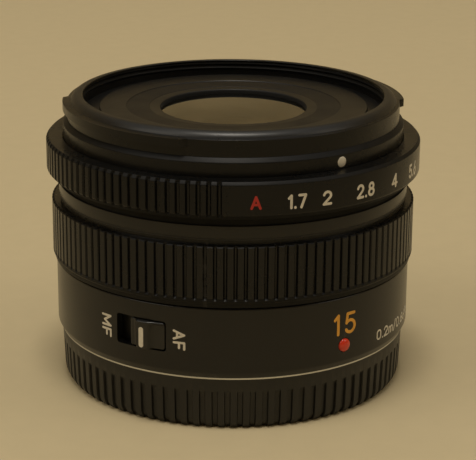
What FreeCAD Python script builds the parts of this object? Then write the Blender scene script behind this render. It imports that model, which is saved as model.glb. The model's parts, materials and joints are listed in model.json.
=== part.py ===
import FreeCAD, Part
import math
import os

# A compact wide-angle prime lens standing on its rear cap, front glass up.
# Millimetres. The origin is the centre of the cap's bottom, +Z is the optical axis towards the
# front, and the index line of the barrel faces -Y. Angles run round the axis from -Y towards +X.

V = FreeCAD.Vector
AXIS = V(0, 0, 1)
CENTRE = V(0, 0, 0)

# Clearances
RUNNING = 0.08          # radial, between a turning ring and the tube that it turns on
SEATED = 0.02           # radial, between two fixed pieces that fit each other
PIN_PLAY = 0.05         # radial, pins in holes and slots
CLOSE = 0.1             # between fixed pieces that lie side by side
LOOSE = 0.3             # between neighbours that must never touch

# Rear cap
CAP_HEIGHT = 7.9
CAP_SETBACK = 0.1       # radial, from the mount's rim
CAP_TAPER = 0.3         # radial, from the top edge to the waist
CAP_CHAMFER = 0.7       # radial, from the waist to the foot
CAP_CHAMFER_HEIGHT = 1.0
CAP_WALL = 1.5
CAP_FLOOR = 1.4
CAP_RIBS = 90
CAP_RIB_TOP = 6.0
CAP_GROOVE_WIDTH = 0.88
CAP_FIRST_GROOVE_DEG = 1.74
CAP_GROOVE_DEPTH = 0.4
CLAW_RING_WALL = 1.2
CLAW_HEIGHT = 1.0
CLAW_WIDTH_DEG = 40
CLAW_PLAY = 0.5

# Bayonet mount of the lens
MOUNT_GAP = 0.1         # between the cap's edge and the bearing face
MOUNT_RIM_SETBACK = 0.1
MOUNT_RIM_HEIGHT = 0.4
MOUNT_RIM_WIDTH = 1.4
MOUNT_PLATE = 1.6
THROAT_R = 17.4
BAYONET_WALL = 1.5
BAYONET_LENGTH = 4.6
LUG_PROUD = 1.9
LUG_WIDTH_DEG = 48
LUG_COUNT = 3
LUG_FIRST_DEG = 30
LUG_DROP = 1.8          # bearing face to the lug's near face
LUG_THICKNESS = 1.2
LOCK_HOLE_R = 1.6
LOCK_HOLE_DEPTH = 1.0
LOCK_HOLE_DEG = 90
MOUNT_SCREW_COUNT = 4
MOUNT_SCREW_R = 0.75
MOUNT_SCREW_HEAD_R = 1.35
MOUNT_SCREW_HEAD = 0.9
MOUNT_SCREW_LENGTH = 5.4

# Chassis, the tube that every ring turns on
CHASSIS_R = 24.7
CHASSIS_WALL = 1.4
CHASSIS_FLANGE = 0.8
WALL_ABOVE_WEB = 6.3    # from the barrel's inner web to the top of the cross wall
WALL_THICKNESS = 1.2
LEDGE_DEPTH = 2.2       # below the chassis's top
LEDGE_THICKNESS = 1.0
LEDGE_WIDTH = 1.1
BOSS_R = 1.7
BOSS_OFFSET = 0.3       # radial, from the tail's outer face to the bosses' circle

# Main barrel
BARREL_STEP = 2.75      # radial, over the chassis
BARREL_FOOT_STEP = 0.45
BARREL_FOOT_CHAMFER = 0.8
BARREL_HEIGHT = 10.5
BARREL_WALL = 1.55
BARREL_TOP_WEB = 0.8
BARREL_EDGE = 0.25
BEAD_R = 1.0
BEAD_ABOVE_FOOT = 3.2
BEAD_PROUD = 0.5
BEAD_DEPTH = 0.6

# Focus mode switch
SWITCH_DEG = -66.05
SWITCH_ABOVE_FOOT = 5.73
WINDOW_WIDTH_DEG = 17.5
WINDOW_HEIGHT = 4.6
WINDOW_CORNER_R = 0.42
KNOB_WIDTH_DEG = 12.0
KNOB_END_PLAY_DEG = 0.35
KNOB_SIDE_PLAY = 0.2
KNOB_PROUD = 0.8        # radial, from the barrel's face up to the ridge
KNOB_RIDGE_DEG = (-2.95, 0.9)
KNOB_SLOPE_DEG = 1.3    # on each side of the ridge, down to the barrel's face
KNOB_ROOT = 2.0         # radial, from the barrel's face to the knob's root
KNOB_FLANGE = 0.65
KNOB_FLANGE_WIDTH_DEG = 25
KNOB_FLANGE_HEIGHT = 5.4
KNOB_FLANGE_PLAY = 0.15
SWITCH_BASE_WIDTH_DEG = 17

# Focus ring
FOCUS_DEPTH = 3.3       # radial, from the chassis to the rib tops
FOCUS_BAND_DROP = 0.28
FOCUS_SHOULDER_DROP = 1.4
FOCUS_GAP = 0.4         # shadow line over the main barrel
FOCUS_HEIGHT = 9.8
FOCUS_BAND_HEIGHT = 0.9
FOCUS_BAND_BEVEL = 0.3
FOCUS_SHOULDER = 0.6
FOCUS_RIBS = 120
FOCUS_GROOVE_WIDTH = 0.5
FOCUS_GROOVE_DEPTH = 0.45
FOCUS_WALL = 1.7
FOCUS_LAND = 1.2
COMB_ABOVE = 2.5
COMB_THICKNESS = 0.3
COMB_TEETH = 48
COMB_SLOT_WIDTH = 0.8
COMB_SLOT_DEPTH = 0.7
COMB_HUB = 0.33
COMB_HUB_HEIGHT = 1.8
COMB_PLAY = 0.25        # radial, from the chassis to the teeth
GATE_DEGS = (30, 45)
GATE_WIDTH = 3.2
GATE_HEIGHT = 2.1
GATE_SLOT = 0.8
GATE_SLOT_REACH = 0.75  # radial, past the comb's teeth
GATE_DEPTH = 2.4        # radial, inwards from the chassis's outer face
WASHER_THICKNESS = 0.25
WASHER_PLAY = 0.05

# Fixed band between the rings
BAND_DEPTH = 2.2        # radial, over the chassis
BAND_HEIGHT = 1.7
BAND_NECK_DROP = 0.3
BAND_NECK_HEIGHT = 1.4
SET_SCREW_R = 0.5
SET_SCREW_LENGTH = 2.3
SET_SCREW_SINK = 0.1
SET_SCREW_DEGS = (60, 180, 300)

# Aperture ring
APERTURE_DEPTH = 2.62   # radial, over the front barrel's skirt
APERTURE_GAP = 0.1      # over the band's neck
APERTURE_HEIGHT = 5.6
APERTURE_BEVEL = 0.5
APERTURE_LIP = 1.25
APERTURE_RIB_PITCH_DEG = 3.0
APERTURE_GROOVE_WIDTH = 0.65
APERTURE_GROOVE_DEPTH = 0.42
SCALE_FIRST_DEG = -38.8  # the plain sector with the numbers runs between these two
SCALE_LAST_DEG = 79.3
MARK_A_DEG = -30.5
MARK_FIRST_DEG = -18.7
STOP_PITCH_DEG = 13.3
MARK_LAST_DEG = 71.0
BALL_R = 0.55
BALL_INSET = 1.0        # radial, from the chassis to the ball's middle
BALL_DEG = 120
BALL_DROP = 0.03        # below the lip
NOTCH_DEPTH = 0.25
NOTCH_LENGTH = 1.0
SPRING_R = 0.5
SPRING_WIRE = 0.15
SPRING_TURNS = 4
SPRING_SEAT = 0.5       # floor under the spring
CODE_STRIP_THICKNESS = 0.13
CODE_STRIP_HEIGHT = 1.0
WIPER_DEG = 200
WIPER_WIDTH_DEG = 5
WIPER_DEPTH = 0.8
WIPER_FINGERS = 4

# Front barrel
SKIRT_WALL = 1.4
SKIRT_OVERLAP = 2.4     # over the chassis's top
SHOULDER_HEIGHT = 3.1   # over the aperture ring
SHOULDER_BEVEL = 0.65
HOOD_SEAT_HEIGHT = 3.1  # from the shoulder to the front edge
FILTER_R = 23.0
FILTER_DEPTH = 2.75
FILTER_RELIEF = 0.3     # radial, the groove below the thread
FILTER_FOOT_GAP = 0.2   # from the name ring's top to the thread's foot
RIM_WALL = 2.0
RIM_HEIGHT = 0.8
HOOD_SEAT_STEP = 0.4
HOOD_LUG_PROUD = 0.7
HOOD_LUG_ROOT = 0.6
HOOD_LUG_HEIGHT = 1.15
HOOD_LUG_TOP_DROP = 1.0
HOOD_LUG_WIDTH_DEG = 75
HOOD_LUG_DEGS = (90, -90)
FRONT_FLOOR = 1.2
FRONT_WEB = 0.7
EDGE = 0.15

# Name ring, bare
NAME_RING_SETBACK = 2.5  # radial, from the filter thread to the printed band
NAME_FLANGE = 0.35
NAME_RING_PROUD = 0.9
NAME_BAND_WIDTH = 4.1
NAME_CONE_WIDTH = 3.4
NAME_STEP = 0.1
NAME_HOLE_INSET = 0.8   # radial, from the front glass's edge
THROAT_STEP = 0.4

# Circuit board and its strip
BOARD_SPACE = 4.0       # radial, from the barrel's wall in to the chassis's tail
BOARD_GAP = 0.4         # over the mount plate
BOARD_PLAY = 0.2
BOARD_THICKNESS = 0.8
BOARD_NOTCH_R = 2.0
CHIP_DEGS = (0, 22, 115, 158, 202)
CHIP_SIZE = 2.4
CHIP_HEIGHT = 0.8
STRIP_DEG = 90
STRIP_WIDTH_DEG = 10
STRIP_THICKNESS = 0.15
STRIP_SLOT = 0.7

# Glass: edge radius, front vertex's height, centre thickness, front and rear radius, and the clear
# rear radius where the rear has a flat rim. A radius is positive when its centre lies behind it.
# The heights of the first six are counted from the top of the chassis's wall, of the last three
# from the mount's bearing face.
FRONT_GLASS = (12.4, 17.2, 1.5, 61.0, 14.0, 9.5)
SECOND_GLASS = (9.2, 11.2, 1.1, 24.0, 9.5, 6.8)
THIRD_GLASS = (7.6, 7.0, 4.2, 17.0, -30.0, None)
PAIR_FRONT_GLASS = (6.8, -1.1, 4.4, 18.0, -11.0, None)
PAIR_REAR_GLASS = (6.8, -5.5, 0.8, -11.0, -30.0, None)
FOCUS_GLASS = (6.4, -8.1, 2.0, 14.0, 50.0, None)
REAR_FRONT_GLASS = (7.4, 4.3, 4.7, 16.0, -13.0, None)
REAR_MIDDLE_GLASS = (7.4, -0.4, 0.9, -13.0, 20.0, 6.4)
LAST_GLASS = (8.2, -2.5, 2.1, 40.0, -60.0, None)
GLASS_PLAY = 0.05
CELL_WALL = 1.45
CELL_FLANGE = 1.0
CELL_LIP = 0.6
PAIR_LIP = 0.5
RING_HEIGHT = 0.6
FRONT_RING_HEIGHT = 0.4
SECOND_RING_HEIGHT = 1.0
RING_WIDTH = 0.8

# Iris
BLADES = 7
IRIS_OPEN_R = 6.1
IRIS_BLADE_BELT = 0.6   # radial, from the blade's edge to the drive pins' circle
IRIS_BLADE_SPAN_DEG = 118
IRIS_PIVOT_R = 12.4
IRIS_DRIVE_INSET = 1.0
IRIS_DRIVE_DEG = 16
IRIS_SWING_DEG = 25
IRIS_RATIO = -0.8       # blade turn for each turn of the rotor
BLADE_THICKNESS = 0.1
BLADE_PITCH = 0.12
BLADE_PIN_R = 0.4
BLADE_EAR_R = 1.0
IRIS_PLATE = 0.6
IRIS_FLANGE = 0.6
IRIS_RIM_WALL = 0.7
IRIS_RIM_TOP = 2.2
IRIS_COVER = 0.35
ROTOR_WEB = 3.0         # radial, from the drive pins' circle in to the rotor's hole
ROTOR_THICKNESS = 0.5
GEAR_RISE = 1.1         # radial, from the rotor's rim to the pitch circle
GEAR_TEETH = 84
PINION_TEETH = 12
PRESSURE_DEG = 20
BACKLASH = 0.03
PINION_WIDTH = 1.0
IRIS_MOTOR_DEG = 150
IRIS_MOTOR_R = 3.0
IRIS_MOTOR_LENGTH = 5.2
SHAFT_R = 0.5

# Focus drive
ROD_CIRCLE_R = 14.6
ROD_R = 0.8
ROD_LAND = 0.5          # wall left inside the rods
MAIN_ROD_DEG = 222
SCREW_CIRCLE_R = 16.5
SCREW_DEG = 240
SCREW_R = 0.9
FOCUS_MOTOR_R = 3.0
FOCUS_MOTOR_LENGTH = 4.3
FOCUS_CELL_WALL = 1.35
FOCUS_LIP = 0.4
SLEEVE_WALL = 0.6
SLEEVE_LENGTH = 5.0
ARM_WIDTH = 2.0
FORK_WIDTH = 3.2
ARM_HEIGHT = 1.5
NUT_LENGTH = 3.2
NUT_WIDTH = 3.0
NUT_HEIGHT = 2.4

# Rear cell, baffle and contacts
REAR_FLANGE = 1.0
REAR_CELL_WALL = 1.15
REAR_CELL_NECK = 0.6
REAR_CELL_COLLAR = 0.9
REAR_CELL_DEPTH = 4.8   # behind the bearing face
BAFFLE_WALL = 0.7
BAFFLE_FLOOR = 0.5
BAFFLE_WINDOW = (15.0, 12.0)
BAFFLE_CORNER_R = 2.0
CONTACT_DEG = 180
CONTACT_WIDTH_DEG = 60
CONTACT_DEPTH = 2.7
CONTACT_SETBACK = 0.5
CONTACT_COUNT = 11
CONTACT_PITCH_DEG = 4.8
CONTACT_R = 0.5
CONTACT_LENGTH = 1.5
CONTACT_PROUD = 0.2

# Heights that follow from the sizes above
flange_z = CAP_HEIGHT + MOUNT_GAP
barrel_foot_z = flange_z + MOUNT_RIM_HEIGHT
mount_top_z = flange_z + MOUNT_PLATE
board_z = mount_top_z + BOARD_GAP
switch_z = barrel_foot_z + SWITCH_ABOVE_FOOT
barrel_top_z = barrel_foot_z + BARREL_HEIGHT
web_z = barrel_top_z - BARREL_TOP_WEB
wall_top_z = web_z + WALL_ABOVE_WEB
wall_foot_z = wall_top_z - WALL_THICKNESS
focus_foot_z = barrel_top_z + FOCUS_GAP
focus_top_z = focus_foot_z + FOCUS_HEIGHT
band_foot_z = focus_top_z + WASHER_PLAY + WASHER_THICKNESS
band_step_z = band_foot_z + BAND_HEIGHT
band_top_z = band_step_z + BAND_NECK_HEIGHT
aperture_foot_z = band_top_z + APERTURE_GAP
aperture_top_z = aperture_foot_z + APERTURE_HEIGHT
lip_foot_z = aperture_foot_z + 1.5 * APERTURE_GAP
lip_top_z = lip_foot_z + APERTURE_LIP
skirt_foot_z = lip_top_z + APERTURE_GAP
chassis_top_z = skirt_foot_z + SKIRT_OVERLAP
ledge_z = chassis_top_z - LEDGE_DEPTH
shoulder_top_z = aperture_top_z + SHOULDER_HEIGHT
front_z = shoulder_top_z + HOOD_SEAT_HEIGHT
front_floor_z = front_z - FILTER_DEPTH
name_top_z = front_floor_z + NAME_RING_PROUD

# Radii that follow
bayonet_r = THROAT_R + BAYONET_WALL
lug_r = bayonet_r + LUG_PROUD
baffle_r = THROAT_R - CLOSE
contact_inner_r = baffle_r - CONTACT_DEPTH
chassis_inner_r = CHASSIS_R - CHASSIS_WALL
ledge_r = chassis_inner_r - LEDGE_WIDTH
barrel_r = CHASSIS_R + BARREL_STEP
barrel_inner_r = barrel_r - BARREL_WALL
barrel_foot_r = barrel_r - BARREL_FOOT_STEP
mount_rim_r = barrel_foot_r - MOUNT_RIM_SETBACK
mount_fit_r = barrel_foot_r - MOUNT_RIM_WIDTH
cap_top_r = mount_rim_r - CAP_SETBACK
cap_waist_r = cap_top_r - CAP_TAPER
cap_foot_r = cap_waist_r - CAP_CHAMFER
tail_r = barrel_inner_r - BOARD_SPACE
tail_inner_r = tail_r - CHASSIS_WALL
tail_fit_r = tail_inner_r - CLOSE
mount_screw_circle_r = tail_r + BOSS_OFFSET
board_inner_r = tail_r + BOARD_PLAY
focus_rib_r = CHASSIS_R + FOCUS_DEPTH
focus_band_r = focus_rib_r - FOCUS_BAND_DROP
focus_shoulder_r = focus_rib_r - FOCUS_SHOULDER_DROP
focus_wall_r = focus_rib_r - FOCUS_WALL
comb_inner_r = CHASSIS_R + COMB_PLAY
band_r = CHASSIS_R + BAND_DEPTH
band_neck_r = band_r - BAND_NECK_DROP
ball_circle_r = CHASSIS_R + BALL_INSET
shoulder_r = CHASSIS_R + SKIRT_WALL
aperture_r = shoulder_r + APERTURE_DEPTH
rim_r = FILTER_R + RIM_WALL
hood_seat_r = rim_r + HOOD_SEAT_STEP
hood_lug_r = hood_seat_r + HOOD_LUG_PROUD
name_ring_r = FILTER_R - NAME_RING_SETBACK
front_floor_r = name_ring_r + CLOSE
wall_hole_r = ROD_CIRCLE_R - ROD_R - ROD_LAND
iris_drive_r = IRIS_PIVOT_R - IRIS_DRIVE_INSET
iris_blade_r = iris_drive_r - IRIS_BLADE_BELT
iris_bore_r = IRIS_PIVOT_R + BLADE_EAR_R + LOOSE
iris_rim_r = iris_bore_r + IRIS_RIM_WALL
iris_plate_r = iris_rim_r + IRIS_FLANGE
rotor_r = iris_bore_r - CLOSE
rotor_hole_r = iris_drive_r - ROTOR_WEB
gear_module = 2 * (rotor_r + GEAR_RISE) / GEAR_TEETH


def placed(glass, reference_z):
    """A glass whose front vertex has its height in the lens's frame."""
    return (glass[0], glass[1] + reference_z) + glass[2:]


front_glass = placed(FRONT_GLASS, wall_top_z)
second_glass = placed(SECOND_GLASS, wall_top_z)
third_glass = placed(THIRD_GLASS, wall_top_z)
pair_front_glass = placed(PAIR_FRONT_GLASS, wall_top_z)
pair_rear_glass = placed(PAIR_REAR_GLASS, wall_top_z)
focus_glass = placed(FOCUS_GLASS, wall_top_z)
rear_front_glass = placed(REAR_FRONT_GLASS, flange_z)
rear_middle_glass = placed(REAR_MIDDLE_GLASS, flange_z)
last_glass = placed(LAST_GLASS, flange_z)


def at(radius, degrees, z=0.0):
    """A point at an angle from -Y towards +X."""
    turn = math.radians(degrees)
    return V(radius * math.sin(turn), -radius * math.cos(turn), z)


def revolve(outline):
    """A full turn of a closed outline of (radius, height) corners."""
    corners = [V(r, 0, z) for r, z in outline]
    face = Part.Face(Part.makePolygon(corners + corners[:1]))
    return face.revolve(CENTRE, AXIS, 360)


def tube(inner_r, outer_r, low, high):
    return revolve([(inner_r, low), (outer_r, low), (outer_r, high), (inner_r, high)])


def disc(radius, low, high, centre=CENTRE):
    return Part.makeCylinder(radius, high - low, V(centre.x, centre.y, low))


def sector(inner_r, outer_r, low, high, middle, width):
    """Part of a tube, centred on one angle."""
    start = middle - width / 2
    corners = [at(r, start, z) for r, z in ((inner_r, low), (outer_r, low), (outer_r, high), (inner_r, high))]
    return Part.Face(Part.makePolygon(corners + corners[:1])).revolve(CENTRE, AXIS, width)


def turned(shape, degrees):
    copy = shape.copy()
    copy.rotate(CENTRE, AXIS, degrees)
    return copy


def radial_pin(radius, inner_r, outer_r, degrees, z):
    return Part.makeCylinder(radius, outer_r - inner_r, at(inner_r, degrees, z), at(1, degrees))


def radial_box(inner_r, outer_r, width, low, high, degrees):
    """A block whose length lies along the radius at an angle."""
    block = Part.makeBox(width, outer_r - inner_r, high - low, V(-width / 2, -outer_r, low))
    return turned(block, degrees)


def prism(points, low, high):
    corners = [V(p.x, p.y, low) for p in points]
    face = Part.Face(Part.makePolygon(corners + corners[:1]))
    return face.extrude(V(0, 0, high - low))


def grooves(floor_r, width, low, high, angles):
    """Straight flutes cut into a ring from outside."""
    return Part.makeCompound([radial_box(floor_r, floor_r + 3, width, low, high, angle) for angle in angles])


def fused(shapes):
    return shapes[0].fuse(shapes[1:]).removeSplitter()


def sag(curvature, radius):
    """How far a spherical face falls behind its vertex at a radius."""
    return curvature - math.copysign(math.sqrt(curvature ** 2 - radius ** 2), curvature)


def front_face_z(glass, radius):
    return glass[1] - sag(glass[3], radius)


def rear_face_z(glass, radius):
    return glass[1] - glass[2] - sag(glass[4], radius)


def rear_rim_z(glass):
    return rear_face_z(glass, glass[5] or glass[0])


def lens(glass):
    edge_r, vertex, thickness, _, _, clear_r = glass
    rear_r = clear_r or edge_r

    def arc(height, reach):
        points = [V(r, 0, height(glass, r)) for r in (0, reach / 2, reach)]
        return Part.Arc(*points).toShape()

    front_edge = V(edge_r, 0, front_face_z(glass, edge_r))
    rim_edge = V(edge_r, 0, rear_rim_z(glass))
    rear_edge = V(rear_r, 0, rear_rim_z(glass))
    edges = [arc(front_face_z, edge_r), Part.makeLine(front_edge, rim_edge)]
    if clear_r:
        edges.append(Part.makeLine(rim_edge, rear_edge))
    edges.append(arc(rear_face_z, rear_r))
    edges.append(Part.makeLine(V(0, 0, vertex - thickness), V(0, 0, vertex)))
    return Part.Face(Part.Wire(Part.__sortEdges__(edges))).revolve(CENTRE, AXIS, 360)


def lug_angles():
    return [LUG_FIRST_DEG + k * 360 / LUG_COUNT for k in range(LUG_COUNT)]


def mount_screw_angles():
    return [45 + k * 360 / MOUNT_SCREW_COUNT for k in range(MOUNT_SCREW_COUNT)]


def make_rear_cap():
    """A cup with a fluted wall, and a ring inside whose claws hold behind the lens's lugs."""
    wall_r = cap_top_r - CAP_WALL
    cup = revolve([
        (0, 0), (cap_foot_r, 0), (cap_waist_r, CAP_CHAMFER_HEIGHT), (cap_top_r, CAP_HEIGHT),
        (wall_r, CAP_HEIGHT), (wall_r, CAP_FLOOR), (0, CAP_FLOOR)])
    angles = [CAP_FIRST_GROOVE_DEG + k * 360 / CAP_RIBS for k in range(CAP_RIBS)]
    floor_r = cap_waist_r - CAP_GROOVE_DEPTH
    cup = cup.cut(grooves(floor_r, CAP_GROOVE_WIDTH, -1, CAP_RIB_TOP, angles))
    ring_r = lug_r + CLAW_PLAY
    claw_top = flange_z - CLAW_PLAY
    ring = tube(ring_r, ring_r + CLAW_RING_WALL, CAP_FLOOR, claw_top)
    claw_r = bayonet_r + CLAW_PLAY
    claw_root_r = ring_r + CLAW_RING_WALL / 2
    claws = [sector(claw_r, claw_root_r, claw_top - CLAW_HEIGHT, claw_top, angle, CLAW_WIDTH_DEG)
             for angle in lug_angles()]
    return fused([cup, ring] + claws)


def mount_screw_shape(play=0.0):
    head = Part.makeCone(MOUNT_SCREW_HEAD_R + play, MOUNT_SCREW_R + play, MOUNT_SCREW_HEAD)
    head.translate(at(mount_screw_circle_r, 0, flange_z))
    centre = at(mount_screw_circle_r, 0)
    shank = disc(MOUNT_SCREW_R + play, flange_z + MOUNT_SCREW_HEAD / 2, flange_z + MOUNT_SCREW_LENGTH, centre)
    return head.fuse(shank)


def mount_screw_set(play=0.0):
    screw = mount_screw_shape(play)
    return Part.makeCompound([turned(screw, angle) for angle in mount_screw_angles()])


def make_mount_plate():
    """Bearing flange, bayonet tube and three lugs, turned and milled from one piece."""
    plate = revolve([
        (THROAT_R, flange_z - BAYONET_LENGTH), (bayonet_r, flange_z - BAYONET_LENGTH), (bayonet_r, flange_z),
        (mount_rim_r, flange_z), (mount_rim_r, barrel_foot_z), (mount_fit_r, barrel_foot_z),
        (mount_fit_r, mount_top_z), (THROAT_R, mount_top_z)])
    lug_top = flange_z - LUG_DROP
    lug_root_r = bayonet_r - BAYONET_WALL / 4
    lugs = [sector(lug_root_r, lug_r, lug_top - LUG_THICKNESS, lug_top, angle, LUG_WIDTH_DEG)
            for angle in lug_angles()]
    plate = fused([plate] + lugs)
    lock_centre = at(mount_screw_circle_r, LOCK_HOLE_DEG)
    lock_hole = disc(LOCK_HOLE_R, flange_z - 1, flange_z + LOCK_HOLE_DEPTH, lock_centre)
    return plate.cut([mount_screw_set(SEATED), lock_hole])


def switch_block(width_deg, height, outer_r):
    """A block through the barrel's wall with rounded corners, as wide as an arc of the barrel."""
    width = 2 * barrel_r * math.sin(math.radians(width_deg / 2))
    inner_r = barrel_inner_r - 1
    block = radial_box(inner_r, outer_r, width, switch_z - height / 2, switch_z + height / 2, 0)
    corners = [edge for edge in block.Edges if abs(edge.tangentAt(edge.FirstParameter).y) > 0.9]
    return block.makeFillet(WINDOW_CORNER_R, corners)


def make_main_barrel():
    """The rear shell, with its switch window and the pocket for the red bead."""
    fit_r = mount_fit_r + PIN_PLAY
    web_r = CHASSIS_R + CLOSE
    shell = revolve([
        (fit_r, barrel_foot_z), (barrel_foot_r, barrel_foot_z),
        (barrel_r, barrel_foot_z + BARREL_FOOT_CHAMFER), (barrel_r, barrel_top_z - BARREL_EDGE),
        (barrel_r - BARREL_EDGE, barrel_top_z), (web_r, barrel_top_z), (web_r, web_z),
        (barrel_inner_r, web_z), (barrel_inner_r, board_z), (fit_r, board_z)])
    window = turned(switch_block(WINDOW_WIDTH_DEG, WINDOW_HEIGHT, barrel_r + 2), SWITCH_DEG)
    pocket_z = barrel_foot_z + BEAD_ABOVE_FOOT
    pocket = radial_pin(BEAD_R + SEATED, barrel_r - BEAD_DEPTH, barrel_r + 1, 0, pocket_z)
    return shell.cut([window, pocket])


def make_index_bead():
    """A round bead with a domed face, pressed into the barrel on the index line."""
    bead_z = barrel_foot_z + BEAD_ABOVE_FOOT
    shank = radial_pin(BEAD_R, barrel_r - BEAD_DEPTH, barrel_r + BEAD_PROUD, 0, bead_z)
    dome_r = (BEAD_R ** 2 + BEAD_PROUD ** 2) / (2 * BEAD_PROUD)
    dome = Part.makeSphere(dome_r, at(barrel_r + BEAD_PROUD - dome_r, 0, bead_z))
    return shank.common(dome)


def knob_travel_deg():
    return WINDOW_WIDTH_DEG - KNOB_WIDTH_DEG - 2 * KNOB_END_PLAY_DEG


def knob_deg():
    return SWITCH_DEG + knob_travel_deg() / 2


def knob_flange_r():
    return barrel_inner_r - KNOB_FLANGE_PLAY


def make_switch_knob():
    """A thumb slide: a ridge with a slope on each side, on a flange behind the window."""
    half = KNOB_WIDTH_DEG / 2
    height = WINDOW_HEIGHT - 2 * KNOB_SIDE_PLAY
    body = turned(switch_block(KNOB_WIDTH_DEG, height, barrel_r + KNOB_PROUD), knob_deg())
    middle = knob_deg()
    start = middle - half - 1
    end = middle + half + 1
    top_r = barrel_r + KNOB_PROUD
    ridge_start = middle + KNOB_RIDGE_DEG[0]
    ridge_end = middle + KNOB_RIDGE_DEG[1]
    crest = [
        at(barrel_r - KNOB_ROOT, start), at(barrel_r, start), at(barrel_r, ridge_start - KNOB_SLOPE_DEG),
        at(top_r, ridge_start), at(top_r, ridge_end), at(barrel_r, ridge_end + KNOB_SLOPE_DEG),
        at(barrel_r, end), at(barrel_r - KNOB_ROOT, end)]
    low = switch_z - height / 2
    crown = prism(crest, low, low + height)
    root_r = barrel_r - 0.75 * KNOB_ROOT
    outer_r = knob_flange_r()
    inner_r = outer_r - KNOB_FLANGE
    inside = sector(inner_r, root_r, low, low + height, middle, 3 * KNOB_WIDTH_DEG)
    foot = switch_z - KNOB_FLANGE_HEIGHT / 2
    flange = sector(inner_r, outer_r, foot, foot + KNOB_FLANGE_HEIGHT, middle, KNOB_FLANGE_WIDTH_DEG)
    return fused([body.common(crown.fuse(inside)), flange])


def make_switch_base():
    outer_r = knob_flange_r() - KNOB_FLANGE - 2 * CLOSE
    low = board_z + BOARD_THICKNESS + CHIP_HEIGHT
    high = web_z - CHASSIS_FLANGE - 2 * CLOSE
    return sector(tail_r + CLOSE, outer_r, low, high, SWITCH_DEG, SWITCH_BASE_WIDTH_DEG)


def comb_middle_z():
    return focus_foot_z + COMB_ABOVE + COMB_THICKNESS / 2


def gate_outer_r():
    return focus_wall_r - COMB_HUB - LOOSE / 2


def gate_block(play=0.0):
    """The body of a light gate, or the hole for it in the chassis."""
    half = GATE_HEIGHT / 2 + play
    return radial_box(CHASSIS_R - GATE_DEPTH, gate_outer_r(), GATE_WIDTH + 2 * play, comb_middle_z() - half,
                      comb_middle_z() + half, 0)


def make_focus_gates():
    """Two light gates, each a block with a slot that the comb's teeth pass through."""
    inner_r = comb_inner_r - GATE_SLOT_REACH
    low = comb_middle_z() - GATE_SLOT / 2
    slot = radial_box(inner_r, gate_outer_r() + 1, GATE_WIDTH + 1, low, low + GATE_SLOT, 0)
    gate = gate_block().cut(slot)
    return Part.makeCompound([turned(gate, angle) for angle in GATE_DEGS])


def make_focus_ring():
    """The ring turns on two lands, one at each end, and its wall is hollow between them."""
    land_r = CHASSIS_R + RUNNING
    rib_top = focus_top_z - FOCUS_SHOULDER
    band_top = focus_foot_z + FOCUS_BAND_HEIGHT
    blank = revolve([
        (land_r, focus_foot_z), (focus_band_r, focus_foot_z), (focus_band_r, band_top - FOCUS_BAND_BEVEL),
        (focus_rib_r, band_top), (focus_rib_r, rib_top - EDGE), (focus_rib_r - EDGE, rib_top),
        (focus_shoulder_r, rib_top), (focus_shoulder_r, focus_top_z), (land_r, focus_top_z),
        (land_r, focus_top_z - FOCUS_LAND),
        (focus_wall_r, focus_top_z - FOCUS_LAND), (focus_wall_r, focus_foot_z + FOCUS_LAND),
        (land_r, focus_foot_z + FOCUS_LAND)])
    angles = [k * 360 / FOCUS_RIBS for k in range(FOCUS_RIBS)]
    floor_r = focus_rib_r - FOCUS_GROOVE_DEPTH
    low = band_top + FOCUS_BAND_BEVEL
    return blank.cut(grooves(floor_r, FOCUS_GROOVE_WIDTH, low, focus_top_z, angles))


def make_focus_comb():
    """A thin slotted disc inside the focus ring, with a short hub that is glued to the ring's wall."""
    outer_r = focus_wall_r - SEATED
    hub_r = outer_r - COMB_HUB
    low = focus_foot_z + COMB_ABOVE
    hub_low = low + COMB_THICKNESS
    hub_top = hub_low + COMB_HUB_HEIGHT
    comb = revolve([
        (comb_inner_r, low), (outer_r, low), (outer_r, hub_top), (hub_r, hub_top), (hub_r, hub_low),
        (comb_inner_r, hub_low)])
    root_r = min(comb_inner_r + COMB_SLOT_DEPTH, hub_r)
    slots = [radial_box(comb_inner_r - 1, root_r, COMB_SLOT_WIDTH, low - 1, hub_low + 1, k * 360 / COMB_TEETH)
             for k in range(COMB_TEETH)]
    return comb.cut(Part.makeCompound(slots))


def set_screws(play=0.0):
    """Headless screws through the fixed band and through the front barrel's skirt."""
    pins = []
    rows = ((band_neck_r, (band_step_z + band_top_z) / 2), (shoulder_r, (skirt_foot_z + chassis_top_z) / 2))
    for face_r, z in rows:
        outer_r = face_r - SET_SCREW_SINK
        inner_r = outer_r - SET_SCREW_LENGTH
        pins += [radial_pin(SET_SCREW_R + play, inner_r - play, outer_r + 2 * play, angle, z)
                 for angle in SET_SCREW_DEGS]
    return Part.makeCompound(pins)


def ball_centre():
    return at(ball_circle_r, BALL_DEG, lip_foot_z - BALL_DROP - BALL_R)


def spring_foot_z():
    return band_foot_z + SPRING_SEAT


def make_fixed_band():
    fit_r = CHASSIS_R + SEATED
    band = revolve([
        (fit_r, band_foot_z), (band_r, band_foot_z), (band_r, band_step_z), (band_neck_r, band_step_z),
        (band_neck_r, band_top_z), (fit_r, band_top_z)])
    pocket = disc(BALL_R + PIN_PLAY, spring_foot_z(), band_top_z + 1, ball_centre())
    return band.cut([set_screws(SEATED), pocket])


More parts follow.
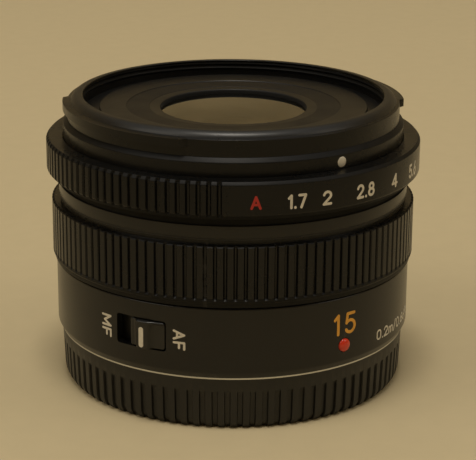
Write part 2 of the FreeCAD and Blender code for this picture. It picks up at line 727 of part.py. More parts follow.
def make_click_spring():
    """A small compression spring of square wire under the ball."""
    height = ball_centre().z - BALL_R - spring_foot_z() - SPRING_WIRE
    inner_r = SPRING_R - SPRING_WIRE
    path = Part.makeHelix(height / SPRING_TURNS, height, SPRING_R)
    corners = [V(inner_r, 0, 0), V(SPRING_R, 0, 0), V(SPRING_R, 0, SPRING_WIRE), V(inner_r, 0, SPRING_WIRE)]
    coil = Part.Wire(path.Edges).makePipeShell([Part.makePolygon(corners + corners[:1])], True, True)
    coil.translate(V(ball_centre().x, ball_centre().y, spring_foot_z()))
    return coil


def click_angles():
    """Where the notches lie on the ring at rest: one for each third of a stop, and one for A."""
    first = MARK_FIRST_DEG
    pitch = STOP_PITCH_DEG / 3
    marks = [MARK_LAST_DEG - k * pitch for k in range(int((MARK_LAST_DEG - first) / pitch) + 1)]
    return [MARK_A_DEG] + marks


def click_notch(degrees):
    """A short V groove along the radius, its edge up, in the underside of the lip."""
    side = 2 * NOTCH_DEPTH
    block = Part.makeBox(side, NOTCH_LENGTH, side, V(-side / 2, -ball_circle_r - NOTCH_LENGTH / 2, -side / 2))
    block.rotate(CENTRE, V(0, 1, 0), 45)
    block.translate(V(0, 0, lip_foot_z + NOTCH_DEPTH - side / math.sqrt(2)))
    return turned(block, degrees)


def make_aperture_ring():
    """A ring with a fluted grip, a plain sector for the numbers and a lip inside that holds it."""
    lip_r = CHASSIS_R + RUNNING
    bore_r = shoulder_r + RUNNING
    ring = revolve([
        (lip_r, lip_foot_z), (band_r, lip_foot_z), (band_r, aperture_foot_z),
        (aperture_r - EDGE, aperture_foot_z), (aperture_r, aperture_foot_z + EDGE),
        (aperture_r, aperture_top_z - APERTURE_BEVEL), (aperture_r - APERTURE_BEVEL, aperture_top_z),
        (bore_r, aperture_top_z), (bore_r, lip_top_z), (lip_r, lip_top_z)])
    count = int((360 - (SCALE_LAST_DEG - SCALE_FIRST_DEG)) / APERTURE_RIB_PITCH_DEG)
    angles = [SCALE_LAST_DEG + k * APERTURE_RIB_PITCH_DEG for k in range(count + 1)]
    floor_r = aperture_r - APERTURE_GROOVE_DEPTH
    flutes = grooves(floor_r, APERTURE_GROOVE_WIDTH, aperture_foot_z - 1, aperture_top_z + 1, angles)
    notches = [click_notch(BALL_DEG + angle) for angle in click_angles()]
    low = wiper_low() - SEATED
    high = wiper_low() + CODE_STRIP_HEIGHT + SEATED
    pocket = sector(lip_r - 1, wiper_r() + SEATED, low, high, WIPER_DEG, WIPER_WIDTH_DEG + CLOSE)
    return ring.cut(flutes).cut(Part.makeCompound(notches)).cut(pocket)


def wiper_low():
    return (lip_foot_z + lip_top_z) / 2 - CODE_STRIP_HEIGHT / 2


def wiper_r():
    return CHASSIS_R + RUNNING + WIPER_DEPTH


def make_aperture_wiper():
    """A brush in the ring's lip, with fingers that reach to the code strip."""
    low = wiper_low()
    foot = sector(CHASSIS_R + RUNNING, wiper_r(), low, low + CODE_STRIP_HEIGHT, WIPER_DEG, WIPER_WIDTH_DEG)
    pitch = CODE_STRIP_HEIGHT / WIPER_FINGERS
    tip_r = strip_face_r() + PIN_PLAY
    root_r = CHASSIS_R + 2 * RUNNING
    feet = [low + (k + 0.25) * pitch for k in range(WIPER_FINGERS)]
    fingers = [sector(tip_r, root_r, z, z + pitch / 2, WIPER_DEG, 1) for z in feet]
    return fused([foot] + fingers)


def strip_face_r():
    return CHASSIS_R - SEATED


def strip_sector(play=0.0):
    """The code strip lies in a shallow groove of the chassis, as long as the ring's turn."""
    turn = MARK_LAST_DEG - MARK_A_DEG
    middle = WIPER_DEG + (-MARK_LAST_DEG - MARK_A_DEG) / 2
    width = turn + 2 * WIPER_WIDTH_DEG + play
    low = wiper_low() - play
    high = wiper_low() + CODE_STRIP_HEIGHT + play
    return sector(strip_face_r() - CODE_STRIP_THICKNESS, strip_face_r() + play, low, high, middle, width)


def make_front_barrel():
    """Skirt, index shoulder, hood seat with two lugs, rim and filter bore in one piece."""
    fit_r = CHASSIS_R + SEATED
    seat_r = chassis_inner_r + CLOSE
    web_r = fit_r - FRONT_WEB
    floor_foot = front_floor_z - FRONT_FLOOR
    seat_top = chassis_top_z + FRONT_FLOOR
    rim_foot = front_z - RIM_HEIGHT
    relief_r = FILTER_R + FILTER_RELIEF
    thread_foot = name_top_z + FILTER_FOOT_GAP
    barrel = revolve([
        (fit_r, skirt_foot_z), (shoulder_r, skirt_foot_z), (shoulder_r, shoulder_top_z - SHOULDER_BEVEL),
        (shoulder_r - SHOULDER_BEVEL, shoulder_top_z), (hood_seat_r, shoulder_top_z),
        (hood_seat_r, rim_foot - EDGE), (rim_r, rim_foot), (rim_r, front_z - EDGE), (rim_r - EDGE, front_z),
        (FILTER_R + EDGE, front_z), (FILTER_R, front_z - EDGE), (FILTER_R, thread_foot),
        (relief_r, thread_foot), (relief_r, front_floor_z), (front_floor_r, front_floor_z),
        (front_floor_r, floor_foot), (web_r, floor_foot), (web_r, seat_top), (seat_r, seat_top),
        (seat_r, chassis_top_z), (fit_r, chassis_top_z)])
    lug_top = front_z - HOOD_LUG_TOP_DROP
    lug_foot = lug_top - HOOD_LUG_HEIGHT
    lugs = [sector(hood_seat_r - HOOD_LUG_ROOT, hood_lug_r, lug_foot, lug_top, angle, HOOD_LUG_WIDTH_DEG)
            for angle in HOOD_LUG_DEGS]
    return fused([barrel] + lugs).cut(set_screws(SEATED))


def name_hole_r():
    return FRONT_GLASS[0] - NAME_HOLE_INSET


def make_name_ring():
    """A flat printed band, a shallow cone and a throat that ends just over the front glass."""
    flange_r = FILTER_R - LOOSE
    flange_top = front_floor_z + NAME_FLANGE
    band_inner_r = name_ring_r - NAME_BAND_WIDTH
    cone_inner_r = band_inner_r - NAME_STEP - NAME_CONE_WIDTH
    step = NAME_STEP
    throat_r = name_hole_r() - THROAT_STEP
    throat_z = front_face_z(front_glass, throat_r) + CLOSE
    under = front_face_z(front_glass, throat_r) + RING_HEIGHT
    top = name_top_z
    return revolve([
        (flange_r, front_floor_z), (flange_r, flange_top), (name_ring_r, flange_top),
        (name_ring_r, top - EDGE), (name_ring_r - EDGE, top), (band_inner_r, top - step),
        (band_inner_r - step, top - 2.5 * step), (cone_inner_r, top - 4 * step),
        (cone_inner_r - step, top - 5 * step), (name_hole_r(), top - 6.5 * step), (throat_r, throat_z),
        (throat_r + THROAT_STEP / 2, throat_z), (throat_r + THROAT_STEP, under),
        (name_ring_r - 2 * CLOSE, under), (name_ring_r, front_floor_z)])


def make_front_cell():
    """One stepped cell for the three front elements, hung from the chassis by a thin flange."""
    first_r = front_glass[0] + GLASS_PLAY
    second_r = second_glass[0] + GLASS_PLAY
    third_r = third_glass[0] + GLASS_PLAY
    first_seat = rear_rim_z(front_glass)
    second_seat = rear_rim_z(second_glass)
    third_lip_r = third_glass[0] - CELL_LIP
    third_seat = rear_face_z(third_glass, third_lip_r) - SEATED
    foot = third_seat - CELL_LIP
    first_wall_r = first_r + CELL_WALL
    second_wall_r = second_r + CELL_WALL
    third_wall_r = third_r + CELL_WALL
    flange_r = chassis_inner_r - CLOSE
    flange_top = ledge_z + CELL_FLANGE
    top = front_face_z(front_glass, front_glass[5]) - CLOSE
    return revolve([
        (third_lip_r, foot), (third_wall_r, foot), (third_wall_r, second_seat), (second_wall_r, second_seat),
        (second_wall_r, ledge_z), (flange_r, ledge_z), (flange_r, flange_top), (first_wall_r, flange_top),
        (first_wall_r, top), (first_r, top), (first_r, first_seat), (second_r, first_seat),
        (second_r, second_seat), (third_r, second_seat), (third_r, third_seat), (third_lip_r, third_seat)])


def ring_on_front(glass, inner_r, height, play=GLASS_PLAY):
    """A threaded ring that holds an element by its front face."""
    low = front_face_z(glass, inner_r) + SEATED
    return tube(inner_r, glass[0] + play - SEATED, low, low + height)


def ring_on_rear(glass, inner_r, height):
    high = rear_face_z(glass, inner_r) - SEATED
    return tube(inner_r, glass[0] + GLASS_PLAY - SEATED, high - height, high)


def make_second_ring():
    return ring_on_front(second_glass, second_glass[0] - RING_WIDTH, SECOND_RING_HEIGHT)


def make_front_spacer():
    """A plain ring that keeps the second element off the third."""
    inner_r = third_glass[0] - CELL_LIP
    low = front_face_z(third_glass, inner_r) + SEATED
    return tube(inner_r, third_glass[0], low, rear_rim_z(second_glass) - SEATED)


def spun(point, degrees):
    """A point after a turn about the axis."""
    return FreeCAD.Rotation(AXIS, degrees).multVec(point)


def blade_drive_point(swing_deg):
    """The drive pin's place, about a pivot at angle 0, after the blade has swung."""
    pivot = V(IRIS_PIVOT_R, 0, 0)
    arm = at(iris_drive_r, 90 + IRIS_DRIVE_DEG) - pivot
    return pivot + spun(arm, swing_deg)


def blade_turn(index):
    """The pivot of blade 1 lies on +X, the others follow round the axis."""
    return index * 360 / BLADES


def plate_top_z():
    return wall_top_z + IRIS_PLATE


def rotor_foot_z():
    return plate_top_z() + BLADES * BLADE_PITCH + CLOSE


def rim_top_z():
    return wall_top_z + IRIS_RIM_TOP


def make_blade(index):
    """A thin crescent with an ear, a pivot pin below it and a drive pin above it."""
    low = plate_top_z() + PIN_PLAY + index * BLADE_PITCH
    high = low + BLADE_THICKNESS
    pivot = V(IRIS_PIVOT_R, 0, 0)
    drive = blade_drive_point(0)
    crescent = sector(IRIS_OPEN_R, iris_blade_r, low, high, 90 + IRIS_BLADE_SPAN_DEG / 2, IRIS_BLADE_SPAN_DEG)
    root_r = iris_blade_r - IRIS_BLADE_BELT
    root = sector(root_r, IRIS_PIVOT_R - BLADE_EAR_R / 2, low, high, 90 + IRIS_DRIVE_DEG / 2, IRIS_DRIVE_DEG)
    ears = [disc(BLADE_EAR_R, low, high, pivot), disc(BLADE_EAR_R, low, high, drive)]
    pivot_pin = disc(BLADE_PIN_R, wall_top_z + CLOSE, high, pivot)
    drive_pin = disc(BLADE_PIN_R, low, rotor_foot_z() + ROTOR_THICKNESS - PIN_PLAY, drive)
    return turned(fused([crescent, root] + ears + [pivot_pin, drive_pin]), blade_turn(index))


def cam_slot(low, high):
    """The path of a drive pin seen from the rotor, widened by the pin and its play."""
    steps = 8
    half = BLADE_PIN_R + PIN_PLAY
    path = []
    for k in range(steps + 1):
        swing = IRIS_SWING_DEG * k / steps
        path.append(spun(blade_drive_point(swing), -swing / IRIS_RATIO) + V(0, 0, low))
    left = []
    right = []
    for k, point in enumerate(path):
        along = path[min(k + 1, steps)] - path[max(k - 1, 0)]
        along.normalize()
        side = V(-along.y, along.x, 0) * half
        left.append(point + side)
        right.append(point - side)
    first_way = path[0] - path[1]
    last_way = path[-1] - path[-2]
    first_way.normalize()
    last_way.normalize()
    upper = Part.BSplineCurve()
    upper.interpolate(left)
    lower = Part.BSplineCurve()
    lower.interpolate(right)
    head = Part.Arc(left[0], path[0] + first_way * half, right[0])
    tail = Part.Arc(left[-1], path[-1] + last_way * half, right[-1])
    wire = Part.Wire(Part.__sortEdges__([c.toShape() for c in (upper, lower, head, tail)]))
    return Part.Face(wire).extrude(V(0, 0, high - low))


def make_iris_base():
    """The pan of the iris: a plate with seven pivot holes and a rim that is open at the pinion."""
    top = plate_top_z()
    plate = tube(IRIS_OPEN_R + CLOSE, iris_plate_r, wall_top_z, top)
    rim = tube(iris_bore_r, iris_rim_r, top - IRIS_PLATE / 4, rim_top_z())
    opening = sector(iris_bore_r - 1, iris_rim_r + 1, top, rim_top_z() + 1, IRIS_MOTOR_DEG, gear_sweep_deg())
    centres = [at(IRIS_PIVOT_R, 90 + blade_turn(k)) for k in range(BLADES)]
    holes = [disc(BLADE_PIN_R + PIN_PLAY, wall_top_z - 1, top + 1, centre) for centre in centres]
    return plate.fuse(rim.cut(opening)).removeSplitter().cut(Part.makeCompound(holes))


def rotor_turn_deg():
    return IRIS_SWING_DEG / IRIS_RATIO


def gear_sweep_deg():
    return 2 * abs(rotor_turn_deg()) + 26


def tooth(teeth, middle_deg, addendum):
    """One involute tooth about the origin, as points from its root up and down again."""
    pitch_r = teeth * gear_module / 2
    base_r = pitch_r * math.cos(math.radians(PRESSURE_DEG))
    root_r = pitch_r - 1.1 * gear_module
    tip_r = pitch_r + addendum * gear_module

    def half_angle(radius):
        pressure = math.acos(min(1.0, base_r / radius))
        pitch_pressure = math.radians(PRESSURE_DEG)
        inner = math.pi / (2 * teeth) - BACKLASH / pitch_r
        lean = math.tan(pitch_pressure) - pitch_pressure - math.tan(pressure) + pressure
        return math.degrees(inner + lean)

    radii = [root_r, max(base_r, root_r + 0.02), pitch_r, tip_r]
    rising = [at(r, middle_deg - half_angle(r)) for r in radii]
    falling = [at(r, middle_deg + half_angle(r)) for r in reversed(radii)]
    return rising + falling


def make_iris_rotor():
    """The cam ring: seven slots for the drive pins and a toothed sector for the motor."""
    low = rotor_foot_z()
    high = low + ROTOR_THICKNESS
    tooth_pitch = 360 / GEAR_TEETH
    first = -1
    last = int(abs(rotor_turn_deg()) / tooth_pitch) + 2
    outline = []
    for k in range(first, last + 1):
        outline += tooth(GEAR_TEETH, IRIS_MOTOR_DEG + k * tooth_pitch, 0.7)
    inner_r = rotor_r - 1
    inner = [at(inner_r, IRIS_MOTOR_DEG + k * tooth_pitch) for k in range(last, first - 1, -1)]
    gear = prism(outline + inner, low, high)
    slots = [turned(cam_slot(low - 1, high + 1), blade_turn(k)) for k in range(BLADES)]
    return tube(rotor_hole_r, rotor_r, low, high).fuse(gear).removeSplitter().cut(Part.makeCompound(slots))


def pinion_centre():
    return at((GEAR_TEETH + PINION_TEETH) * gear_module / 2, IRIS_MOTOR_DEG)


def make_iris_pinion():
    """A twelve-tooth pinion on the motor's shaft, with a gap facing the rotor's tooth."""
    points = []
    for k in range(PINION_TEETH):
        points += tooth(PINION_TEETH, IRIS_MOTOR_DEG + 180 + (k + 0.5) * 360 / PINION_TEETH, 0.8)
    middle = rotor_foot_z() + ROTOR_THICKNESS / 2
    wheel = prism(points, middle - PINION_WIDTH / 2, middle + PINION_WIDTH / 2)
    shaft = disc(SHAFT_R, middle, cover_top_z() + 1)
    pinion = fused([wheel, shaft])
    pinion.translate(pinion_centre())
    return pinion


def cover_top_z():
    return rim_top_z() + IRIS_COVER


def make_iris_cover():
    """The lid of the iris, with an ear that carries the motor."""
    lid = tube(IRIS_OPEN_R + LOOSE, iris_rim_r, rim_top_z(), cover_top_z())
    ear_r = IRIS_MOTOR_R + IRIS_FLANGE
    centre = pinion_centre()
    reach = math.hypot(centre.x, centre.y)
    ear = radial_box(iris_rim_r - 2, reach, 2 * ear_r, rim_top_z(), cover_top_z(), IRIS_MOTOR_DEG)
    end = disc(ear_r, rim_top_z(), cover_top_z(), centre)
    hole = disc(gear_module * (PINION_TEETH / 2 + 1) + LOOSE, rim_top_z() - 1, cover_top_z() + 1, centre)
    return fused([lid, ear, end]).cut(hole)


def make_iris_motor():
    centre = pinion_centre()
    can = disc(IRIS_MOTOR_R, cover_top_z(), cover_top_z() + IRIS_MOTOR_LENGTH, centre)
    bore = disc(SHAFT_R + PIN_PLAY, cover_top_z() - 1, cover_top_z() + 1.2, centre)
    return can.cut(bore)


def make_middle_cell():
    """The cell of the cemented pair, hung in the hole of the chassis wall."""
    bore_r = pair_front_glass[0] + GLASS_PLAY
    lip_r = pair_front_glass[0] - PAIR_LIP
    seat = front_face_z(pair_front_glass, lip_r) + SEATED
    foot = pair_rear_glass[1] - pair_rear_glass[2]
    flange_r = wall_hole_r - CLOSE
    outer_r = bore_r + CELL_WALL
    return revolve([
        (bore_r, foot), (outer_r, foot), (outer_r, wall_foot_z), (flange_r, wall_foot_z),
        (flange_r, wall_top_z), (lip_r, wall_top_z), (lip_r, seat), (bore_r, seat)])


def focus_cell_z():
    """Middle height of the focus cell at rest."""
    return focus_glass[1] - focus_glass[2] / 2 - LOOSE


def make_focus_cell():
    """The moving cell: a light ring with a sleeve on one rod, a fork on the other and a nut arm."""
    bore_r = focus_glass[0] + GLASS_PLAY
    lip_r = focus_glass[0] - PAIR_LIP
    seat = rear_rim_z(focus_glass) - SEATED
    foot = seat - FOCUS_LIP
    top = focus_glass[1] - CLOSE
    outer_r = bore_r + FOCUS_CELL_WALL
    ring = revolve([
        (lip_r, foot), (outer_r, foot), (outer_r, top), (bore_r, top), (bore_r, seat), (lip_r, seat)])
    low = focus_cell_z() - ARM_HEIGHT / 2
    high = low + ARM_HEIGHT
    root_r = outer_r - FOCUS_CELL_WALL / 3
    fork_end_r = ROD_CIRCLE_R + ROD_R + SLEEVE_WALL
    main_arm = radial_box(root_r, ROD_CIRCLE_R, ARM_WIDTH, low, high, MAIN_ROD_DEG)
    nut_arm = radial_box(root_r, SCREW_CIRCLE_R - NUT_LENGTH / 2, ARM_WIDTH, low, high, SCREW_DEG)
    fork_arm = radial_box(root_r, fork_end_r, FORK_WIDTH, low, high, MAIN_ROD_DEG + 180)
    sleeve_low = focus_cell_z() - SLEEVE_LENGTH / 2
    sleeve_top = sleeve_low + SLEEVE_LENGTH
    rod_centre = at(ROD_CIRCLE_R, MAIN_ROD_DEG)
    sleeve = disc(ROD_R + SLEEVE_WALL, sleeve_low, sleeve_top, rod_centre)
    bore = disc(ROD_R + PIN_PLAY, sleeve_low - 1, sleeve_top + 1, rod_centre)
    slot_r = ROD_CIRCLE_R - ROD_R - LOOSE
    slot_width = 2 * (ROD_R + PIN_PLAY)
    slot = radial_box(slot_r, fork_end_r + 1, slot_width, low - 1, high + 1, MAIN_ROD_DEG + 180)
    return fused([ring, main_arm, nut_arm, fork_arm, sleeve]).cut([bore, slot])


def rear_flange_top_z():
    return mount_top_z + REAR_FLANGE


def guide_rods(play=0.0):
    low = mount_top_z + 0.4 * REAR_FLANGE
    high = wall_foot_z + 0.5 * WALL_THICKNESS
    centres = [at(ROD_CIRCLE_R, MAIN_ROD_DEG + turn) for turn in (0, 180)]
    return Part.makeCompound([disc(ROD_R + play, low - play, high + play, centre) for centre in centres])


def make_focus_nut():
    inner_r = SCREW_CIRCLE_R - NUT_LENGTH / 2
    low = focus_cell_z() - NUT_HEIGHT / 2
    block = radial_box(inner_r, inner_r + NUT_LENGTH, NUT_WIDTH, low, low + NUT_HEIGHT, SCREW_DEG)
    bore = disc(SCREW_R + PIN_PLAY, 0, wall_top_z, at(SCREW_CIRCLE_R, SCREW_DEG))
    return block.cut(bore)


def screw_hole(play):
    low = mount_top_z + 0.5 * REAR_FLANGE
    high = wall_foot_z - FOCUS_MOTOR_LENGTH + 1
    return disc(SCREW_R + play, low - play, high + play, at(SCREW_CIRCLE_R, SCREW_DEG))


def make_focus_motor():
    can = disc(FOCUS_MOTOR_R, wall_foot_z - FOCUS_MOTOR_LENGTH, wall_foot_z, at(SCREW_CIRCLE_R, SCREW_DEG))
    return can.cut(screw_hole(PIN_PLAY))


def rear_cell_foot_z():
    return flange_z - REAR_CELL_DEPTH


def make_rear_cell():
    """The cell of the rear elements, whose flange lies on the mount plate and ends the focus rods."""
    bore_r = rear_front_glass[0] + GLASS_PLAY
    last_r = last_glass[0] + GLASS_PLAY
    outer_r = last_r + REAR_CELL_WALL
    neck_r = outer_r - REAR_CELL_NECK
    lip_r = rear_middle_glass[5] + CLOSE
    seat = rear_rim_z(rear_middle_glass)
    last_seat = front_face_z(last_glass, lip_r) + SEATED
    flange_top = rear_flange_top_z()
    top = flange_top + REAR_CELL_COLLAR
    foot = rear_cell_foot_z()
    cell = revolve([
        (last_r, foot), (outer_r, foot), (outer_r, mount_top_z), (tail_fit_r, mount_top_z),
        (tail_fit_r, flange_top), (neck_r, flange_top), (neck_r, top), (bore_r, top), (bore_r, seat),
        (lip_r, seat), (lip_r, last_seat), (last_r, last_seat)])
    return cell.cut([guide_rods(SEATED), screw_hole(PIN_PLAY)])


def make_rear_baffle():
    """A black insert in the throat, with a rectangular window over the last element."""
    floor_top = rear_cell_foot_z() - CLOSE
    foot = floor_top - BAFFLE_FLOOR
    inner_r = baffle_r - BAFFLE_WALL
    cup = revolve([
        (0, foot), (baffle_r, foot), (baffle_r, mount_top_z), (inner_r, mount_top_z), (inner_r, floor_top),
        (0, floor_top)])
    width, height = BAFFLE_WINDOW
    window = Part.makeBox(width, height, BAFFLE_FLOOR + 2, V(-width / 2, -height / 2, foot - 1))
    corners = [edge for edge in window.Edges if abs(edge.tangentAt(edge.FirstParameter).z) > 0.9]
    gap_r = contact_inner_r - LOOSE
    gap = sector(gap_r, baffle_r + 1, foot - 1, mount_top_z + 1, CONTACT_DEG, CONTACT_WIDTH_DEG + 3)
    return cup.cut([window.makeFillet(BAFFLE_CORNER_R, corners), gap])


def contact_face_z():
    return flange_z - BAYONET_LENGTH + CONTACT_SETBACK


def make_contact_block():
    """A block in the throat, with a hole for each contact pin."""
    block = sector(contact_inner_r, baffle_r, contact_face_z(), mount_top_z, CONTACT_DEG, CONTACT_WIDTH_DEG)
    return block.cut(contact_pins(SEATED))


def contact_angles():
    return [CONTACT_DEG + (k - (CONTACT_COUNT - 1) / 2) * CONTACT_PITCH_DEG for k in range(CONTACT_COUNT)]


def contact_pins(play=0.0):
    low = contact_face_z() - CONTACT_PROUD
    middle_r = (contact_inner_r + baffle_r) / 2
    centres = [at(middle_r, angle) for angle in contact_angles()]
    pins = [disc(CONTACT_R + play, low, low + CONTACT_LENGTH, centre) for centre in centres]
    return Part.makeCompound(pins)


def make_circuit_board():
    """A ring of board round the chassis's tail, notched at the screw bosses, with its chips."""
    top = board_z + BOARD_THICKNESS
    board = tube(board_inner_r, barrel_inner_r - CLOSE, board_z, top)
    centres = [at(mount_screw_circle_r, angle) for angle in mount_screw_angles()]
    notches = [disc(BOARD_NOTCH_R, board_z - 1, top + 1, centre) for centre in centres]
    inner_r = (board_inner_r + barrel_inner_r - CHIP_SIZE) / 2
    chips = [radial_box(inner_r, inner_r + CHIP_SIZE, CHIP_SIZE, top, top + CHIP_HEIGHT, angle)
             for angle in CHIP_DEGS]
    return Part.makeCompound([board.cut(Part.makeCompound(notches))] + chips)


def strip_outer_r():
    return chassis_inner_r - STRIP_THICKNESS


def make_flex_strip():
    outer_r = strip_outer_r()
    low = board_z + BOARD_THICKNESS
    return sector(outer_r - STRIP_THICKNESS, outer_r, low, wall_foot_z - CLOSE, STRIP_DEG, STRIP_WIDTH_DEG)


def make_chassis():
    """The tube that carries every other piece, with its wall, ledge, flange and screw bosses."""
    flange_r = barrel_inner_r - CLOSE
    flange_foot = web_z - CHASSIS_FLANGE
    ledge_foot = ledge_z - LEDGE_THICKNESS
    skeleton = revolve([
        (tail_inner_r, mount_top_z), (tail_r, mount_top_z), (tail_r, flange_foot), (flange_r, flange_foot),
        (flange_r, web_z), (CHASSIS_R, web_z), (CHASSIS_R, chassis_top_z), (chassis_inner_r, chassis_top_z),
        (chassis_inner_r, ledge_z), (ledge_r, ledge_z), (ledge_r, ledge_foot), (chassis_inner_r, ledge_foot),
        (chassis_inner_r, wall_top_z), (wall_hole_r, wall_top_z), (wall_hole_r, wall_foot_z),
        (chassis_inner_r, wall_foot_z), (chassis_inner_r, web_z), (tail_inner_r, web_z)])
    boss_top = web_z - CHASSIS_FLANGE / 2
    centres = [at(mount_screw_circle_r, angle) for angle in mount_screw_angles()]
    bosses = [disc(BOSS_R, mount_top_z, boss_top, centre) for centre in centres]
    bore = disc(tail_inner_r, mount_top_z - 1, boss_top)
    slot_r = strip_outer_r() + CLOSE
    slot_foot = flange_foot - 1
    strip_slot = sector(slot_r - STRIP_SLOT, slot_r, slot_foot, web_z + CLOSE, STRIP_DEG, STRIP_WIDTH_DEG + 2)
    windows = [turned(gate_block(PIN_PLAY), angle) for angle in GATE_DEGS]
    fasteners = [mount_screw_set(SEATED), set_screws(SEATED), guide_rods(SEATED)]
    return fused([skeleton] + bosses).cut([bore, strip_slot, strip_sector(SEATED)] + fasteners + windows)


def make_parts():
    parts = {
        "rear_cap": make_rear_cap(),
        "mount_plate": make_mount_plate(),
        "mount_screws": mount_screw_set(),
        "mount_index_bead": make_index_bead(),
        "rear_baffle": make_rear_baffle(),
        "contact_block": make_contact_block(),
        "contact_pins": contact_pins(),
        "main_barrel": make_main_barrel(),
        "chassis": make_chassis(),
        "circuit_board": make_circuit_board(),
        "flex_strip": make_flex_strip(),
        "switch_knob": make_switch_knob(),
        "switch_base": make_switch_base(),
        "focus_ring": make_focus_ring(),
        "focus_comb": make_focus_comb(),
        "focus_gates": make_focus_gates(),
        "slip_washer": tube(CHASSIS_R + CLOSE, band_r - CLOSE, focus_top_z + WASHER_PLAY, band_foot_z),
        "fixed_band": make_fixed_band(),
        "click_ball": Part.makeSphere(BALL_R, ball_centre()),
        "click_spring": make_click_spring(),
        "aperture_ring": make_aperture_ring(),
        "aperture_wiper": make_aperture_wiper(),
        "aperture_code_strip": strip_sector(),
        "barrel_set_screws": set_screws(),
        "front_barrel": make_front_barrel(),
        "name_ring": make_name_ring(),
        "front_cell": make_front_cell(),
        "front_retaining_ring": ring_on_front(front_glass, name_hole_r(), FRONT_RING_HEIGHT),
        "second_retaining_ring": make_second_ring(),
        "front_spacer": make_front_spacer(),
        "front_element": lens(front_glass),
        "second_element": lens(second_glass),
        "third_element": lens(third_glass),
        "iris_base": make_iris_base(),
        "iris_rotor": make_iris_rotor(),
        "iris_cover": make_iris_cover(),
        "iris_motor": make_iris_motor(),
        "iris_pinion": make_iris_pinion(),
        "middle_cell": make_middle_cell(),
        "pair_retaining_ring": ring_on_rear(pair_rear_glass, pair_rear_glass[0] - CELL_LIP, RING_HEIGHT),
        "pair_front_element": lens(pair_front_glass),
        "pair_rear_element": lens(pair_rear_glass),
        "focus_cell": make_focus_cell(),
        "focus_element": lens(focus_glass),
        "focus_nut": make_focus_nut(),
        "focus_guide_rods": guide_rods(),
        "focus_lead_screw": screw_hole(0),
        "focus_motor": make_focus_motor(),
        "rear_cell": make_rear_cell(),
        "rear_front_element": lens(rear_front_glass),
        "rear_middle_element": lens(rear_middle_glass),
        "last_element": lens(last_glass),
        "rear_retaining_ring": ring_on_rear(last_glass, last_glass[0] - RING_WIDTH, RING_HEIGHT),
    }
    for index in range(BLADES):
        parts[f"iris_blade_{index + 1}"] = make_blade(index)
    return parts


os.makedirs("parts", exist_ok=True)
for name, shape in make_parts().items():
    shape.exportStep(f"parts/{name}.step")
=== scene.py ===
import json
import math

import bmesh
import bpy
import numpy as np
from mathutils import Matrix, Vector
from mathutils.geometry import delaunay_2d_cdt


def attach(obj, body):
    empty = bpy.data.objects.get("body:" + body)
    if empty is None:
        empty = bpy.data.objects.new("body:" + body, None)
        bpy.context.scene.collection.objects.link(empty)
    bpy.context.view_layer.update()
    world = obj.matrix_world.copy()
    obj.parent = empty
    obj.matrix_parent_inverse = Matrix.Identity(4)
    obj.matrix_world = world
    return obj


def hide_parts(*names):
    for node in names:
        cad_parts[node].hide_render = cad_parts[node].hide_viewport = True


# The looks of a compact prime lens on its rear cap. The lens is given in millimetres, which become
# metres when a mesh is made. The stage, lamps and camera are in metres. Angles run round the axis
# from -Y, the index line, towards +X.

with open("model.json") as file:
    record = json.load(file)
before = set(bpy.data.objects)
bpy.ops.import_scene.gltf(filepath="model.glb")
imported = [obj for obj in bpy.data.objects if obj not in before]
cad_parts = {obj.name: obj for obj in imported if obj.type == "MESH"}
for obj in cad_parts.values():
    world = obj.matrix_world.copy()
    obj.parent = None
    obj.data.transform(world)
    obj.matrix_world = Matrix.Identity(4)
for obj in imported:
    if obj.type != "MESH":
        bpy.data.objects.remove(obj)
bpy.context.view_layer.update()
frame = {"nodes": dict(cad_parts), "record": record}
MM = 0.001
SHARP_DEG, KNOB_SHARP_DEG, DOME_SHARP_DEG = 32, 40, 60

# Materials


def material(name):
    """A new material, its node tree and its shader."""
    mat = bpy.data.materials.new(name)
    mat.use_nodes = True
    tree = mat.node_tree
    shader = tree.nodes["Principled BSDF"]
    return mat, tree, shader


def node(tree, kind, **values):
    """A new node, with its inputs and settings given by name."""
    made = tree.nodes.new(kind)
    for key, value in values.items():
        if key in made.inputs:
            made.inputs[key].default_value = value
        else:
            setattr(made, key, value)
    return made


def placed(tree, scale):
    """Object coordinates, scaled on each axis."""
    coords = tree.nodes.new("ShaderNodeTexCoord")
    mapping = node(tree, "ShaderNodeMapping")
    mapping.inputs["Scale"].default_value = scale
    tree.links.new(coords.outputs["Object"], mapping.inputs["Vector"])
    return mapping.outputs["Vector"]


def noise(tree, scale, detail=4.0, roughness=0.55):
    """Noise with a scale for each axis, in cells to the metre."""
    made = node(tree, "ShaderNodeTexNoise", Scale=1.0, Detail=detail, Roughness=roughness)
    tree.links.new(placed(tree, scale), made.inputs["Vector"])
    return made.outputs["Fac"]


def ramp(tree, source, low, high, at_low, at_high):
    """A value or colour that runs from one to another as the source goes from low to high."""
    made = tree.nodes.new("ShaderNodeValToRGB")
    first, last = made.color_ramp.elements
    first.position, last.position = low, high
    first.color = at_low if len(at_low) == 4 else (*at_low, 1.0)
    last.color = at_high if len(at_high) == 4 else (*at_high, 1.0)
    tree.links.new(source, made.inputs["Fac"])
    return made.outputs["Color"]


def grey(value):
    """A colour without hue."""
    return (value, value, value)


def bump(tree, shader, source, strength, distance):
    """Lets a source tilt the shader's surface. The distance is in metres."""
    made = node(tree, "ShaderNodeBump", Strength=strength, Distance=distance)
    tree.links.new(source, made.inputs["Height"])
    tree.links.new(made.outputs["Normal"], shader.inputs["Normal"])


MIX_FIRST, MIX_SECOND, MIX_RESULT = 6, 7, 2


